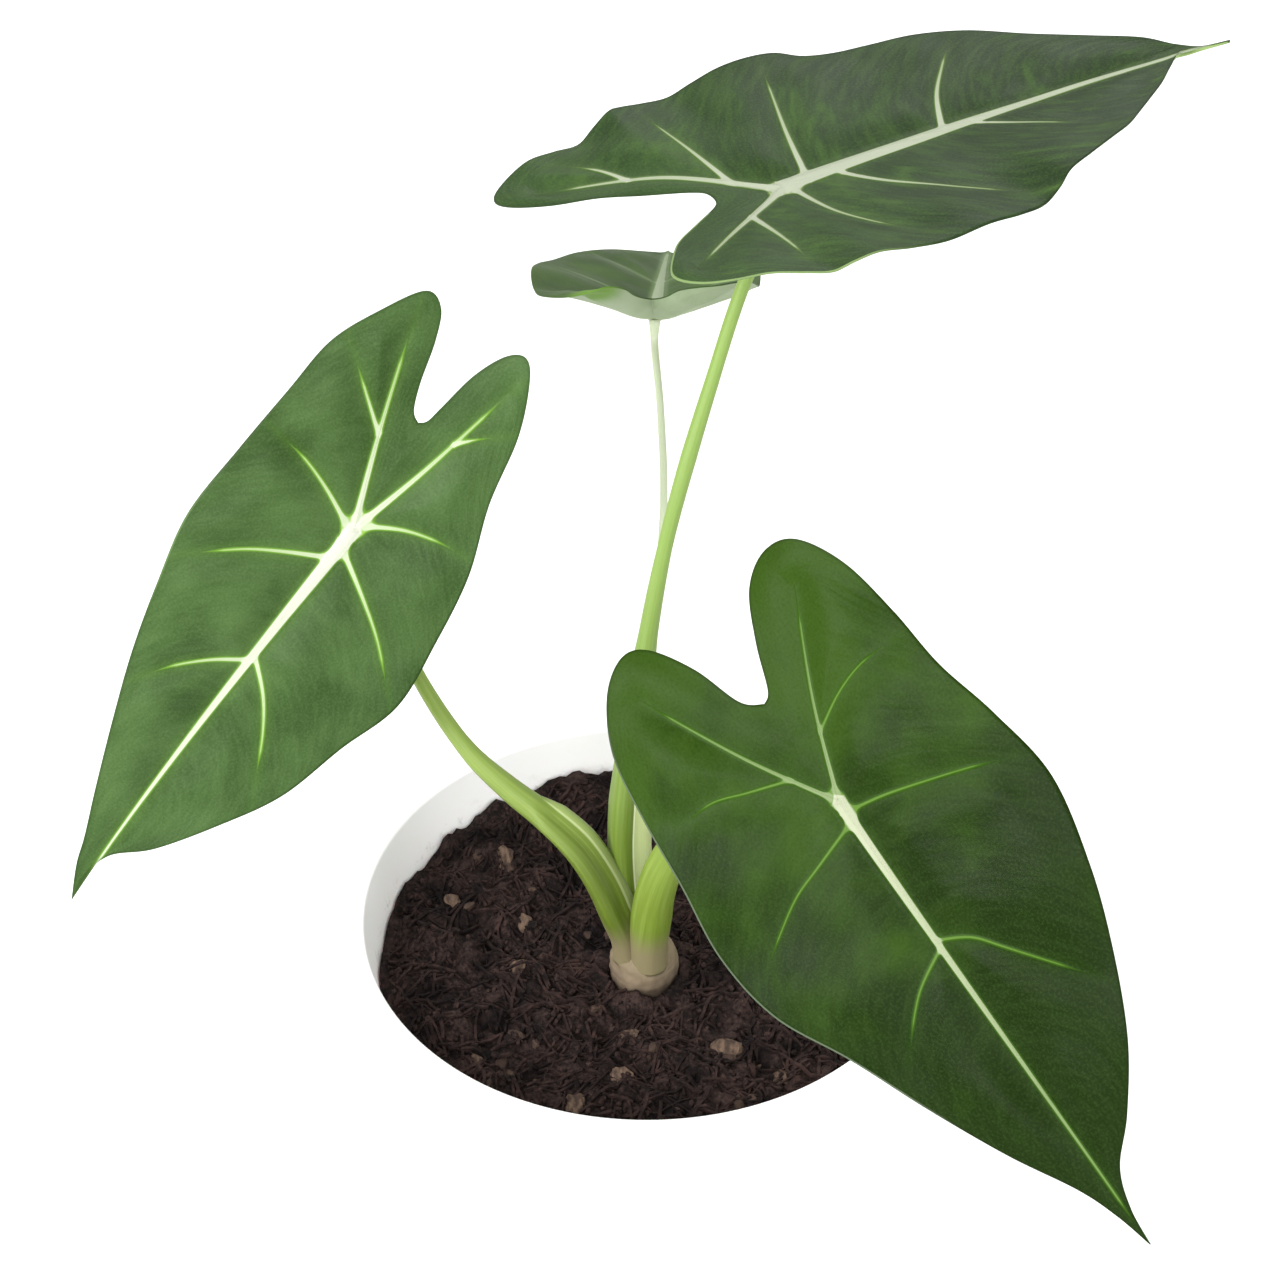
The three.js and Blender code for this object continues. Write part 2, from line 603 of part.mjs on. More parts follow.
function makeLeaf(prefix, leaf) {
  const group = new THREE.Group();
  const sheet = bladeSheet(leaf);
  group.add(named(`${prefix}_blade`, bladeGeometry(sheet), bladeGreen()));
  group.add(named(`${prefix}_ribs`, ribsGeometry(leaf, sheet), ribCream()));
  group.position.set(...leaf.joint);
  const turn = [leaf.roll, leaf.droop, leaf.heading].map((angle) => (angle * Math.PI) / 180);
  group.rotation.set(turn[0], turn[1], turn[2], 'ZYX');
  return group;
}

// Leaf stalks: points from the crown to the leaf joint, radii along it, where the open sheath ends,
// the direction its open side faces, and how far its two edges stand out, as shares of the radius.
const LEFT_STALK = {
  path: [[-4.5, -8.6, 125], [-5, -8.4, 131.5], [-7.4, -8.2, 139], [-11.2, -7, 149.5], [-17.2, -5, 160],
    [-25.2, -1, 166.4], [-34.4, 4, 171.4], [-44.6, 10, 178.6], [-56.4, 22, 190.5], [-65.2, 32, 206],
    [-70.5, 32, 224]],
  radii: [4.1, 4.2, 4.1, 3.2, 2.2, 1.9, 1.65, 1.6, 1.75],
  sheath: 0.34,
  open: [0.8, -0.75, 0.8],
  edge: 0.42,
};

const RIGHT_STALK = {
  path: [[0.8, -11, 125], [0.8, -11.2, 132], [1.3, -11.6, 140], [2.7, -12, 152], [6.2, -13.5, 165],
    [13, -18, 181], [23.5, -27, 197], [36, -40, 211]],
  radii: [4.7, 5, 4.6, 3.6, 2.7, 2.2, 2.1, 2.1],
  sheath: 0.4,
  open: [-0.4, 0.8, 0.4],
  edge: 0.12,
};

const TOP_STALK = {
  path: [[-2.8, -4, 125], [-3.2, -3, 134], [-4.2, -1, 146], [-4.6, 0.8, 158], [-3.6, 4, 177],
    [-1, 11, 203], [2.8, 18.5, 226], [7, 24.5, 244.1], [14.9, 36, 269], [24.3, 48, 294.5]],
  radii: [4.6, 5.2, 5.3, 3.9, 2.4, 1.85, 2, 1.7, 1.65, 1.7],
  sheath: 0.34,
  open: [0.7, -1, 0.3],
  edge: 0.16,
};

const BACK_STALK = {
  path: [[2.2, -2.4, 125], [1.8, -0.4, 136], [-0.8, 3.6, 148], [-2.8, 8, 159], [-2.2, 15, 174],
    [-1.4, 24, 188], [2.6, 41, 205], [4.5, 60, 219.6], [3.8, 88, 231]],
  radii: [2.6, 2.4, 1.9, 1.4, 1.1, 1, 1, 1, 1.1],
  sheath: 0.25,
  open: [-0.2, -1, 0.4],
  edge: 0.12,
};

// Radius of a stalk around its section: two lips stand up on either side of a groove.
function stalkRadius(stalk, share, angle) {
  const spot = share * (stalk.radii.length - 1);
  const from = Math.min(stalk.radii.length - 2, Math.floor(spot));
  const radius = mix(stalk.radii[from], stalk.radii[from + 1], spot - from);
  const open = Math.max(0, Math.min(1, (stalk.sheath - share) * 26)) * Math.min(1, 9 * share);
  const groove = 0.3 * open * Math.exp(-((angle / 0.55) ** 2));
  const lips = stalk.edge * open * Math.exp(-(((Math.abs(angle) - 1.05) / 0.4) ** 2));
  return radius * (1 - groove + lips);
}

// A stalk from the crown to just under its blade; grow widens it all round.
function stalkGeometry(stalk, leaf, grow) {
  const turn = [leaf.roll, leaf.droop, leaf.heading].map((angle) => (angle * Math.PI) / 180);
  const up = new THREE.Vector3(0, 0, 1).applyEuler(new THREE.Euler(turn[0], turn[1], turn[2], 'ZYX'));
  const joint = new THREE.Vector3(...leaf.joint);
  const below = (distance) => joint.clone().addScaledVector(up, -distance);
  const end = BLADE_THICK + 1.65 + STALK_CLEARANCE;
  const points = stalk.path.map(([x, y, z]) => new THREE.Vector3(x, y, z));
  points.push(below(end + 6), below(end));
  const curve = new THREE.CatmullRomCurve3(points, false, 'centripetal');
  const open = new THREE.Vector3(...stalk.open);
  const corners = [];
  const triangles = [];
  for (let i = 0; i <= STALK_RINGS; i += 1) {
    const share = i / STALK_RINGS;
    const centre = curve.getPointAt(share);
    const along = curve.getTangentAt(share);
    if (i === 0) {
      along.set(0, 0, 1);
    }
    if (i === STALK_RINGS) {
      along.copy(up);
    }
    const across = new THREE.Vector3().crossVectors(along, open).normalize();
    const front = new THREE.Vector3().crossVectors(across, along).normalize();
    for (let k = 0; k < STALK_SIDES; k += 1) {
      let angle = (2 * Math.PI * k) / STALK_SIDES;
      angle = angle > Math.PI ? angle - 2 * Math.PI : angle;
      const radius = stalkRadius(stalk, share, angle) + grow;
      const corner = centre.clone();
      corner.addScaledVector(front, radius * Math.cos(angle));
      corner.addScaledVector(across, radius * Math.sin(angle));
      corners.push(corner.toArray());
    }
  }
  for (let i = 0; i < STALK_RINGS; i += 1) {
    for (let k = 0; k < STALK_SIDES; k += 1) {
      const [a, b] = [i * STALK_SIDES + k, i * STALK_SIDES + ((k + 1) % STALK_SIDES)];
      triangles.push([a, b, a + STALK_SIDES], [b, b + STALK_SIDES, a + STALK_SIDES]);
    }
  }
  const last = STALK_RINGS * STALK_SIDES;
  for (let k = 1; k + 1 < STALK_SIDES; k += 1) {
    triangles.push([0, k + 1, k], [last, last + k, last + k + 1]);
  }
  return closedGeometry(corners, triangles);
}

// The stalk bases sit on the corm and are tucked around one another, the front ones outermost.
function makeStalks() {
  const stalks = [
    ['right_stalk', RIGHT_STALK, RIGHT_LEAF],
    ['left_stalk', LEFT_STALK, LEFT_LEAF],
    ['top_stalk', TOP_STALK, TOP_LEAF],
    ['back_stalk', BACK_STALK, BACK_LEAF],
  ];
  let taken = toSolid(cormGeometry(GAP));
  return stalks.map(([name, stalk, leaf]) => {
    const solid = toSolid(stalkGeometry(stalk, leaf, 0)).subtract(taken);
    taken = taken.add(toSolid(stalkGeometry(stalk, leaf, GAP)));
    return named(name, fromSolid(solid), stalkGreen());
  });
}

const plant = new THREE.Group();
plant.name = 'potted_alocasia';
plant.add(makePot());
plant.add(makeSoil());
plant.add(makeCorm());
plant.add(...makeStalks());
plant.add(makeLeaf('left', LEFT_LEAF));
plant.add(makeLeaf('top', TOP_LEAF));
plant.add(makeLeaf('back', BACK_LEAF));
plant.add(makeLeaf('right', RIGHT_LEAF));

export default plant;
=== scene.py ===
import math

import bmesh
import bpy
import numpy as np
from mathutils import Euler, Matrix, Vector, noise
from numpy.linalg import norm


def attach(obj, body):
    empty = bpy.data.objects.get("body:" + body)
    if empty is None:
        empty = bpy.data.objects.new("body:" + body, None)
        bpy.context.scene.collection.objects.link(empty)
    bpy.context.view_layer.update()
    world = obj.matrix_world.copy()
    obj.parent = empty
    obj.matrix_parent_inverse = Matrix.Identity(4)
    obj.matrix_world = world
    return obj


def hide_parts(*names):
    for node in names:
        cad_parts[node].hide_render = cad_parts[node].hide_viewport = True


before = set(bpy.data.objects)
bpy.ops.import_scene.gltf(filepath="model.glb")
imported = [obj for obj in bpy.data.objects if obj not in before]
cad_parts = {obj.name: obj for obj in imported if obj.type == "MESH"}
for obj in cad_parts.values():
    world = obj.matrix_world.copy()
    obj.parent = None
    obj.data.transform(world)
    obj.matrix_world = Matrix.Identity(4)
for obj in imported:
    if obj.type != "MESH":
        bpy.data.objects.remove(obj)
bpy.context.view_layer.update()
scene = bpy.context.scene
MM = 0.001

# Sizes in millimetres, the same as the solids'.
POT_HEIGHT = 135.0
RIM_INNER_R = 73.0
BASE_R = 54.0
POT_WALL = 1.6
POT_FLOOR = 2.4
RIM_BAND_HEIGHT = 9.0
RIM_BAND_OUT = 2.2
DRAIN_COUNT = 6
DRAIN_R = 4.5
DRAIN_RING_R = 34.0
SOIL_TOP = 118.0
SOIL_HIGHEST = 126.0
CORM = (-0.6, -7.0)
CORM_R = 9.3
CORM_BOTTOM = 104.0
BLADE_THICK = 0.95
MARGIN_THICK = 0.4
STALK_END = 1.0

# How fast veins narrow, and the share of a half margin that fans out from the end of a lobe
VEIN_TAPER = 1.5
LOBE_FAN = 0.14

# How fine the meshes are
BLADE_ROWS = (150, 46, 30)
BLADE_COLUMNS = 38
STALK_RINGS = 150
STALK_SIDES = 36
POT_SIDES = 168
CORM_SIDES = 96
SOIL_RINGS, SOIL_SECTORS = 84, 260

# Loose ground matter
SEED = 7
SMALL_CHIPS = 60
CRUMBS = 1500
FIBRES = 1100
FIBRE_STEPS = 5
LITTER_R = 67.5
LONG_LITTER_R = 66.0

# Camera, fitted to the photograph
PICTURE_PX = 1280
FOCAL_PX = 2567
SENSOR_MM = 36.0
PITCH_DEG = 37.25
CAMERA_PLACE = (-0.0016, -0.4875, 0.5922)


def mix(a, b, share):
    return a + (b - a) * share


def smooth(low, high, value):
    t = np.clip((value - low) / (high - low), 0, 1)
    return t * t * (3 - 2 * t)


def rgb(red, green, blue):
    """A colour given as it looks on screen, 0 to 255, as linear light."""
    def one(c):
        c /= 255
        return c / 12.92 if c <= 0.04045 else ((c + 0.055) / 1.055) ** 2.4
    return (one(red), one(green), one(blue), 1.0)


def new_object(name, data):
    made = bpy.data.objects.new(name, data)
    scene.collection.objects.link(made)
    return made


def mesh_of(name, verts, faces):
    """A mesh from places in millimetres."""
    mesh = bpy.data.meshes.new(name)
    mesh.from_pydata((np.asarray(verts, float) * MM).tolist(), [], faces)
    return mesh


def soften(mesh, quads_only=False):
    for polygon in mesh.polygons:
        polygon.use_smooth = len(polygon.vertices) == 4 or not quads_only


def store(mesh, name, values):
    """Keeps one number, or one vector, for each vertex."""
    values = np.asarray(values, np.float32)
    kind, key = ("FLOAT", "value") if values.ndim == 1 else ("FLOAT_VECTOR", "vector")
    mesh.attributes.new(name, kind, "POINT").data.foreach_set(key, values.ravel())


def tube_faces(start, rings, sides, flip=1):
    """The skin of a tube of rings of vertices, with both ends closed."""
    faces = []
    for i in range(rings):
        for k in range(sides):
            a, b = start + i * sides + k, start + i * sides + (k + 1) % sides
            second, fourth = (b, a + sides)[::flip]
            faces.append((a, second, b + sides, fourth))
    last = start + rings * sides
    faces.append(tuple(range(start, start + sides))[::-flip])
    faces.append(tuple(range(last, last + sides))[::flip])
    return faces


def add_piece(name, mesh, material):
    piece = new_object(name, mesh)
    mesh.materials.append(material)
    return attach(piece, "root")


# Leaf shapes, flat: x along the midrib, +y to the left seen from above with the tip away.
# A margin point is (x, y, how far the wave lifts it). A rib is its points and its width.
LEAVES = {
    "left": dict(
        joint=(-70.2, 18, 241), heading=-149.7, droop=43.2, roll=-62.3,
        fold=0.1, arch=9, lobe_lift=(3, 0),
        left=[(119, 4.5, 0), (111, 3, 0.2), (103, 4.5, 0.1), (95, 12, -0.6), (80, 20, 0.6), (64, 27.5, 0.2),
              (45.5, 31.5, -0.8), (28, 35, 1.2), (10, 33, -1.2), (-8, 28.5, 0.9), (-25, 21.5, -0.1),
              (-41.5, 17, -0.8), (-53, 11, 1), (-58, 6.5, 0.8), (-55.5, 2.5, 0.1), (-47, -0.5, -0.6),
              (-36, -1.9, -0.1), (-31.6, -2.5, 0), (-30, -4, 0)],
        right=[(119, 4.5, 0), (110, -0.5, 0.3), (102.5, -3.5, 0), (90.5, -9, -0.8), (72.5, -17, 1.3),
               (56, -23.5, -1.2), (38, -29.5, 0.9), (20, -34, -0.3), (0, -34, -0.1), (-18, -33.5, 0.7),
               (-33, -32.5, -1.2), (-46, -28, 0.6), (-56, -22.5, 1.1), (-55, -17, 0.3), (-48, -13, -0.5),
               (-38, -9.6, -0.3), (-31.8, -6.7, 0), (-30, -4, 0)],
        lobes=[(-49, 8.5), (-47, -19.5)], turns=[(-22, 4.5), (-24, -10.5)],
        midrib=3.6, basal=2,
        ribs=[
            ([(-22, -10), (-28, -18), (-33, -25)], 1.2), ([(-31, 5.5), (-35, 9), (-39, 13)], 1),
            ([(1, -0.5), (-4, -11), (-7, -20), (-8, -27)], 1.5),
            ([(9, -0.5), (14, -10), (19, -18), (26, -26)], 1.5),
            ([(41, 0), (46, -7), (52, -13), (58, -17)], 1.3), ([(-1, 1), (-7, 9), (-10, 17), (-11, 23)], 1.5),
            ([(5, 0.5), (12, 12), (18, 21), (25, 29)], 1.5), ([(39, 0), (46, 8), (54, 14), (63, 19)], 1.3)]),
    "right": dict(
        joint=(42.1, -59.3, 221.9), heading=-53.1, droop=27, roll=48.1,
        fold=0.07, arch=11, lobe_lift=(-2, 0),
        left=[(114, -2, 0), (105.5, -0.5, 0), (97.5, 3, -0.4), (89.5, 11.5, -0.1), (77, 22, 1),
              (60.5, 30.5, -1.2), (44, 38, 1), (24, 42.5, -0.7), (6, 40.5, 0), (-10, 37, 0.8),
              (-26, 35, -1.2), (-41.5, 32.5, 0.6), (-53, 26.5, 0.9), (-56, 18.5, -0.3), (-51.5, 10.5, -0.9),
              (-40.5, 5, 0.1), (-30, 1, 0.1), (-28, -1.5, 0)],
        right=[(114, -2, 0), (105.5, -4, -0.1), (96.5, -7.5, -0.5), (82.5, -15, 0.6), (65, -23.5, -0.2),
               (47, -31.3, -0.3), (30, -39.5, 0.8), (12, -43, -1.2), (-6, -40.5, 1.1), (-24, -40, -0.6),
               (-40, -37.5, -0.3), (-51.5, -30.5, 1.2), (-57, -23, 0.3), (-55, -17, -0.7),
               (-44.5, -10.5, -0.3), (-32, -6, 0.2), (-28, -1.5, 0)],
        lobes=[(-45, 20), (-46.5, -25)], turns=[(-22, 8.5), (-21, -12.5)],
        midrib=3.2, basal=1.8,
        ribs=[
            ([(-15, 5.5), (-19, 14), (-21, 22), (-21, 30)], 1.2),
            ([(-10, -7.5), (-14, -16), (-17, -24), (-17, -32)], 1.2),
            ([(3, 0.5), (5, 9), (8, 18), (12, 29), (15, 36)], 1.3),
            ([(5, -0.5), (9, -12), (12, -21), (19, -33)], 1.3), ([(37, 0), (41, 7), (47, 12), (60, 22)], 1.2),
            ([(39, 0), (43, -8), (47, -13), (53, -19)], 1.2)]),
    "top": dict(
        joint=(31.8, 54.2, 313.3), heading=30.8, droop=-4.2, roll=2.9,
        fold=0.17, arch=1, lobe_lift=(0, 2),
        left=[(131, -5, 0), (124, -3, -0.3), (118, 0.5, 0.6), (112, 6.5, 1), (101, 14, 0.3), (88, 22, -0.2),
              (75, 30, -0.3), (62, 34.5, -0.3), (50, 37.5, -1.4), (41, 39.5, -2), (33, 41.5, -1.6),
              (26, 43.5, 0.2), (18, 44, 1.1), (10, 44.5, 0.5), (2, 44, -0.8), (-5, 43.5, -2.1), (-12, 43, -1),
              (-19, 42, 0.9), (-23, 41, 1.7), (-28, 40, -0.6), (-33, 38.5, -2.4), (-40, 37.5, -1.2),
              (-48, 36, 0), (-56, 33, -0.8), (-61.5, 28, -0.2), (-60, 23.5, 0.5), (-51, 19.5, 0.5),
              (-40, 17, 0.2), (-30, 13.8, -0.5), (-20.5, 9.6, -0.2), (-17, 7.2, 0), (-16.2, 5, 0)],
        right=[(131, -5, 0), (124, -4.2, 0.2), (117, -2.8, 0.4), (110, -7.3, 0), (103, -12.5, -0.6),
               (95, -18, -0.3), (87, -23.5, 0.2), (78, -30, 1.5), (70, -34, 2.2), (60, -38.5, 2.7),
               (52, -41, 1.8), (47, -43.5, -0.5), (41, -45.5, -2.5), (33, -47, -1.7), (24, -47.5, -0.6),
               (13, -47.5, -1), (4, -46, -0.2), (-4, -45, 1.3), (-10, -44, 0.4), (-15, -43, -0.9),
               (-21, -41, 0.1), (-28, -38, 1.2), (-35, -35, 0.7), (-40.5, -31, 0), (-44, -26.5, 0),
               (-44, -22, 0.2), (-40, -16, 0.8), (-33.5, -8, 0), (-25, -2.5, 0),
               (-18.2, 1.3, 0), (-16.5, 3.2, 0), (-16.2, 5, 0)],
        lobes=[(-51, 24.5), (-37.5, -23)], turns=[(-23, 16.5), (-21, -12)],
        midrib=3.6, basal=2,
        ribs=[
            ([(-9, 8.5), (-12, 23), (-14.5, 35), (-15, 39)], 1.3), ([(-30.5, 19.8), (-35, 25), (-41, 30)], 1),
            ([(-13, -8.5), (-15, -21), (-16, -31), (-17, -36)], 1.3),
            ([(7, 0.5), (11.5, 16), (17, 32), (19, 38)], 1.4), ([(46, 0), (52, 11), (60, 20), (66, 26)], 1.4),
            ([(2, -0.5), (2, -17), (5, -28), (9, -36)], 1.3),
            ([(14, -0.5), (20, -15), (29, -27), (39, -36)], 1.4), ([(54, 0), (61.5, -10), (70, -20)], 1.2)]),
    "back": dict(
        joint=(2.4, 114, 245.5), heading=87, droop=15, roll=0,
        fold=0.33, arch=5.5, lobe_lift=(18, 18),
        left=[(92, 0, 0), (85, 1.5, 0.2), (79, 5.5, 0.3), (66, 15.5, -0.4), (50, 24, -1.5), (33, 30, -2.6),
              (17, 33, -1.3), (2, 33.5, 0), (-12, 31.5, -2.6), (-25, 28.5, -4), (-36, 22, -3),
              (-42.5, 16, -0.6), (-42, 10.5, 3), (-35, 6.5, 4.5), (-26, 4, 4.2), (-18, 0, 4.5)],
        right=[(92, 0, 0), (85, -1.3, 0.2), (79, -5, 0.3), (66, -14, 0), (50, -21.5, 0.4), (33, -26, 0),
               (17, -27.8, -0.4), (2, -28, 0.6), (-12, -27.3, 1.3), (-25, -25.5, 2), (-36, -22, 2),
               (-43, -17.5, 1.9), (-42.5, -12, 3), (-35, -7.5, 4.2), (-26, -4, 4.2), (-18, 0, 4.5)],
        lobes=[(-35.5, 15), (-36, -15.5)], turns=[(-17, 7), (-17, -7)],
        midrib=3, basal=1.6,
        ribs=[
            ([(-8, 3.5), (-10, 14), (-12, 24)], 1.1), ([(-8, -3.5), (-10, -14), (-12, -24)], 1.1),
            ([(6, 0.5), (11, 12), (18, 24)], 1.2), ([(7, -0.5), (12, -12), (19, -23)], 1.2),
            ([(33, 0), (40, 9), (49, 17)], 1.1), ([(35, 0), (42, -9), (50, -16)], 1.1)]),
}

# A stalk: its path, its radii, the share with a sheath, where its groove faces and how high its lips are.
STALKS = {
    "left": dict(
        path=[(-4.5, -8.6, 125), (-5, -8.4, 131.5), (-7.4, -8.2, 139), (-11.2, -7, 149.5), (-17.2, -5, 160),
              (-25.2, -1, 166.4), (-34.4, 4, 171.4), (-44.6, 10, 178.6), (-56.4, 22, 190.5), (-65.2, 32, 206),
              (-70.5, 32, 224)],
        radii=[4.1, 4.2, 4.1, 3.2, 2.2, 1.9, 1.65, 1.6, 1.75],
        sheath=0.34, open=(0.8, -0.75, 0.8), edge=0.42),
    "right": dict(
        path=[(0.8, -11, 125), (0.8, -11.2, 132), (1.3, -11.6, 140), (2.7, -12, 152), (6.2, -13.5, 165),
              (13, -18, 181), (23.5, -27, 197), (36, -40, 211)],
        radii=[4.7, 5, 4.6, 3.6, 2.7, 2.2, 2.1, 2.1], sheath=0.4, open=(-0.4, 0.8, 0.4), edge=0.12),
    "top": dict(
        path=[(-2.8, -4, 125), (-3.2, -3, 134), (-4.2, -1, 146), (-4.6, 0.8, 158), (-3.6, 4, 177),
              (-1, 11, 203), (2.8, 18.5, 226), (7, 24.5, 244.1), (14.9, 36, 269), (24.3, 48, 294.5)],
        radii=[4.6, 5.2, 5.3, 3.9, 2.4, 1.85, 2, 1.7, 1.65, 1.7],
        sheath=0.34, open=(0.7, -1, 0.3), edge=0.16),
    "back": dict(
        path=[(2.2, -2.4, 125), (1.8, -0.4, 136), (-0.8, 3.6, 148), (-2.8, 8, 159), (-2.2, 15, 174),
              (-1.4, 24, 188), (2.6, 41, 205), (4.5, 60, 219.6), (3.8, 88, 231)],
        radii=[2.6, 2.4, 1.9, 1.4, 1.1, 1, 1, 1, 1.1], sheath=0.25, open=(-0.2, -1, 0.4), edge=0.12),
}


# Curves
def bent(a, b, slope_a, slope_b, per):
    """Places on the smooth step from a to b, without b itself."""
    t = np.linspace(0, 1, per, endpoint=False)[:, None]
    cubic, square = 2 * a - 2 * b + slope_a + slope_b, -3 * a + 3 * b - 2 * slope_a - slope_b
    return cubic * t ** 3 + square * t ** 2 + slope_a * t + a


def through(points, per=40):
    """A smooth line through points, as many short steps."""
    points = np.array(points, float)
    last = len(points) - 1
    line = []
    for i in range(last):
        p0, p1, p2 = points[max(i - 1, 0)], points[i], points[i + 1]
        p3 = points[min(i + 2, last)]
        line.append(bent(p1, p2, (p2 - p0) / 2, (p3 - p1) / 2, per))
    line.append(points[-1:])
    return np.concatenate(line)


def along(line, shares, axes=2):
    """Places on a line at shares of its length, measured over its first axes; the rest comes along."""
    lengths = np.concatenate([[0], np.cumsum(norm(np.diff(line[:, :axes], axis=0), axis=1))])
    wanted = np.clip(np.asarray(shares, float), 0, 1) * lengths[-1]
    return np.stack([np.interp(wanted, lengths, line[:, k]) for k in range(line.shape[1])], -1)


def share_near(line, place):
    shares = np.arange(241) / 240
    away = ((along(line, shares)[:, :2] - np.array(place)) ** 2).sum(1)
    return shares[np.argmin(away)]


def beside(line, places, past=12.0):
    """How far places lie to the left of a line, and how far along it, also a little past its ends."""
    first = line[0] - past * (line[1] - line[0]) / norm(line[1] - line[0])
    last = line[-1] + past * (line[-1] - line[-2]) / norm(line[-1] - line[-2])
    line = np.concatenate([[first], line, [last]])
    start, step = line[:-1], np.diff(line, axis=0)
    length = np.maximum(norm(step, axis=1), 1e-9)
    before = np.concatenate([[0], np.cumsum(length)])[:-1] - past
    rel = places[:, None, :] - start[None]
    t = np.clip((rel * step).sum(2) / length ** 2, 0, 1)
    off = rel - t[..., None] * step
    best = np.argmin((off ** 2).sum(2), axis=1)
    rows = np.arange(len(places))
    off, t = off[rows, best], t[rows, best]
    turn = step[best, 0] * off[:, 1] - step[best, 1] * off[:, 0]
    return np.copysign(norm(off, axis=1), turn), before[best] + t * length[best]


# Leaf blades
def half_rows(leaf, side):
    """One half of a blade as rows from its spine to its margin."""
    tip_rows, lobe_rows, fan_rows = BLADE_ROWS
    outline = leaf["left"] if side == 0 else leaf["right"]
    margin = through(outline)
    tip = outline[0]
    lobe = leaf["lobes"][side]
    basal = through([(0, 0), leaf["turns"][side], lobe])
    sign = 1 if side == 0 else -1
    at_joint = share_near(margin, (2, sign * max(sign * point[1] for point in outline)))
    at_lobe = share_near(margin, (lobe[0] * 1.3, lobe[1] * 1.25))
    turn = (1 - at_joint) * LOBE_FAN
    k = np.arange(tip_rows + 1) / tip_rows
    spine = [np.stack([tip[0] * (1 - k), tip[1] * (1 - k) ** 3], -1)]
    share = [at_joint * k]
    step = len(basal) - 1
    stops = (at_joint, at_lobe - turn, at_lobe + turn, 1)
    ways = ((lobe_rows, 0, 1), (fan_rows, 1, 1), (lobe_rows, 1, 0))
    for (rows, first, last), low, high in zip(ways, stops, stops[1:]):
        k = np.arange(1, rows + 1) / rows
        place = mix(first, last, k) * step
        spine.append(np.stack([np.interp(place, np.arange(step + 1), basal[:, i]) for i in (0, 1)], -1))
        share.append(mix(low, high, k))
    spine, share = np.concatenate(spine), np.concatenate(share)
    return spine, along(margin, share), share


def blade_height(leaf, x, y, share, wave, out):
    fold = leaf["fold"] * (np.sqrt(y * y + 16) - 4)
    ahead = np.maximum(0, x) / leaf["left"][0][0]
    behind = np.sqrt((np.maximum(0, -x) / 50) ** 2 + 0.04) - 0.2
    lift = mix(leaf["lobe_lift"][1], leaf["lobe_lift"][0], 0.5 + 0.5 * np.clip(y / 20, -1, 1)) * behind
    fade = np.minimum(1, np.minimum(5 * share, 6 * (1 - share)))
    puff = 0.8 * fade * np.sin(np.pi * out) * (0.6 + 0.4 * np.cos(12 * np.pi * share))
    return fold - leaf["arch"] * ahead ** 2 + lift + wave * out ** 2 + puff


def leaf_matrix(leaf):
    turn = Euler([math.radians(leaf[k]) for k in ("roll", "droop", "heading")], "XYZ")
    return Matrix.Translation(leaf["joint"]) @ turn.to_matrix().to_4x4()


def vein_lines(leaf, look):
    """Each vein as a line, its length, its half width and its paleness at both ends."""
    tip = leaf["left"][0]
    spine = np.array([(-0.4, 0)] + [(tip[0] * k, tip[1] * k ** 3) for k in np.linspace(0.02, 0.98, 24)])
    veins = [(spine, (leaf["midrib"] / 2 * look["midrib"], look["midrib_tip"]), look["midrib_pale"])]
    for side in (0, 1):
        line = through([(0, 0), leaf["turns"][side], leaf["lobes"][side]], 12)
        veins.append((line, (leaf["basal"] / 2 * look["basal"], 0.2), look["basal_pale"]))
    trunks = [line for line, _, _ in veins]
    for points, width in leaf["ribs"]:
        points = [np.array(p, float) for p in points]
        starts = [along(trunk, [share_near(trunk, points[0])])[0] for trunk in trunks]
        points[0] = min(starts, key=lambda start: norm(start - points[0]))
        beyond = points[-1] + (points[-1] - points[-2]) * 0.3
        veins.append((through(points + [beyond], 8), (width / 2 * look["side"], 0.12), look["side_pale"]))
    return [(line, norm(np.diff(line, axis=0), axis=1).sum(), half, pale) for line, half, pale in veins]


def vein_half(wide, narrow, share):
    """Half the width of a vein at a share of its length."""
    return mix(narrow, wide, (1 - share) ** VEIN_TAPER)


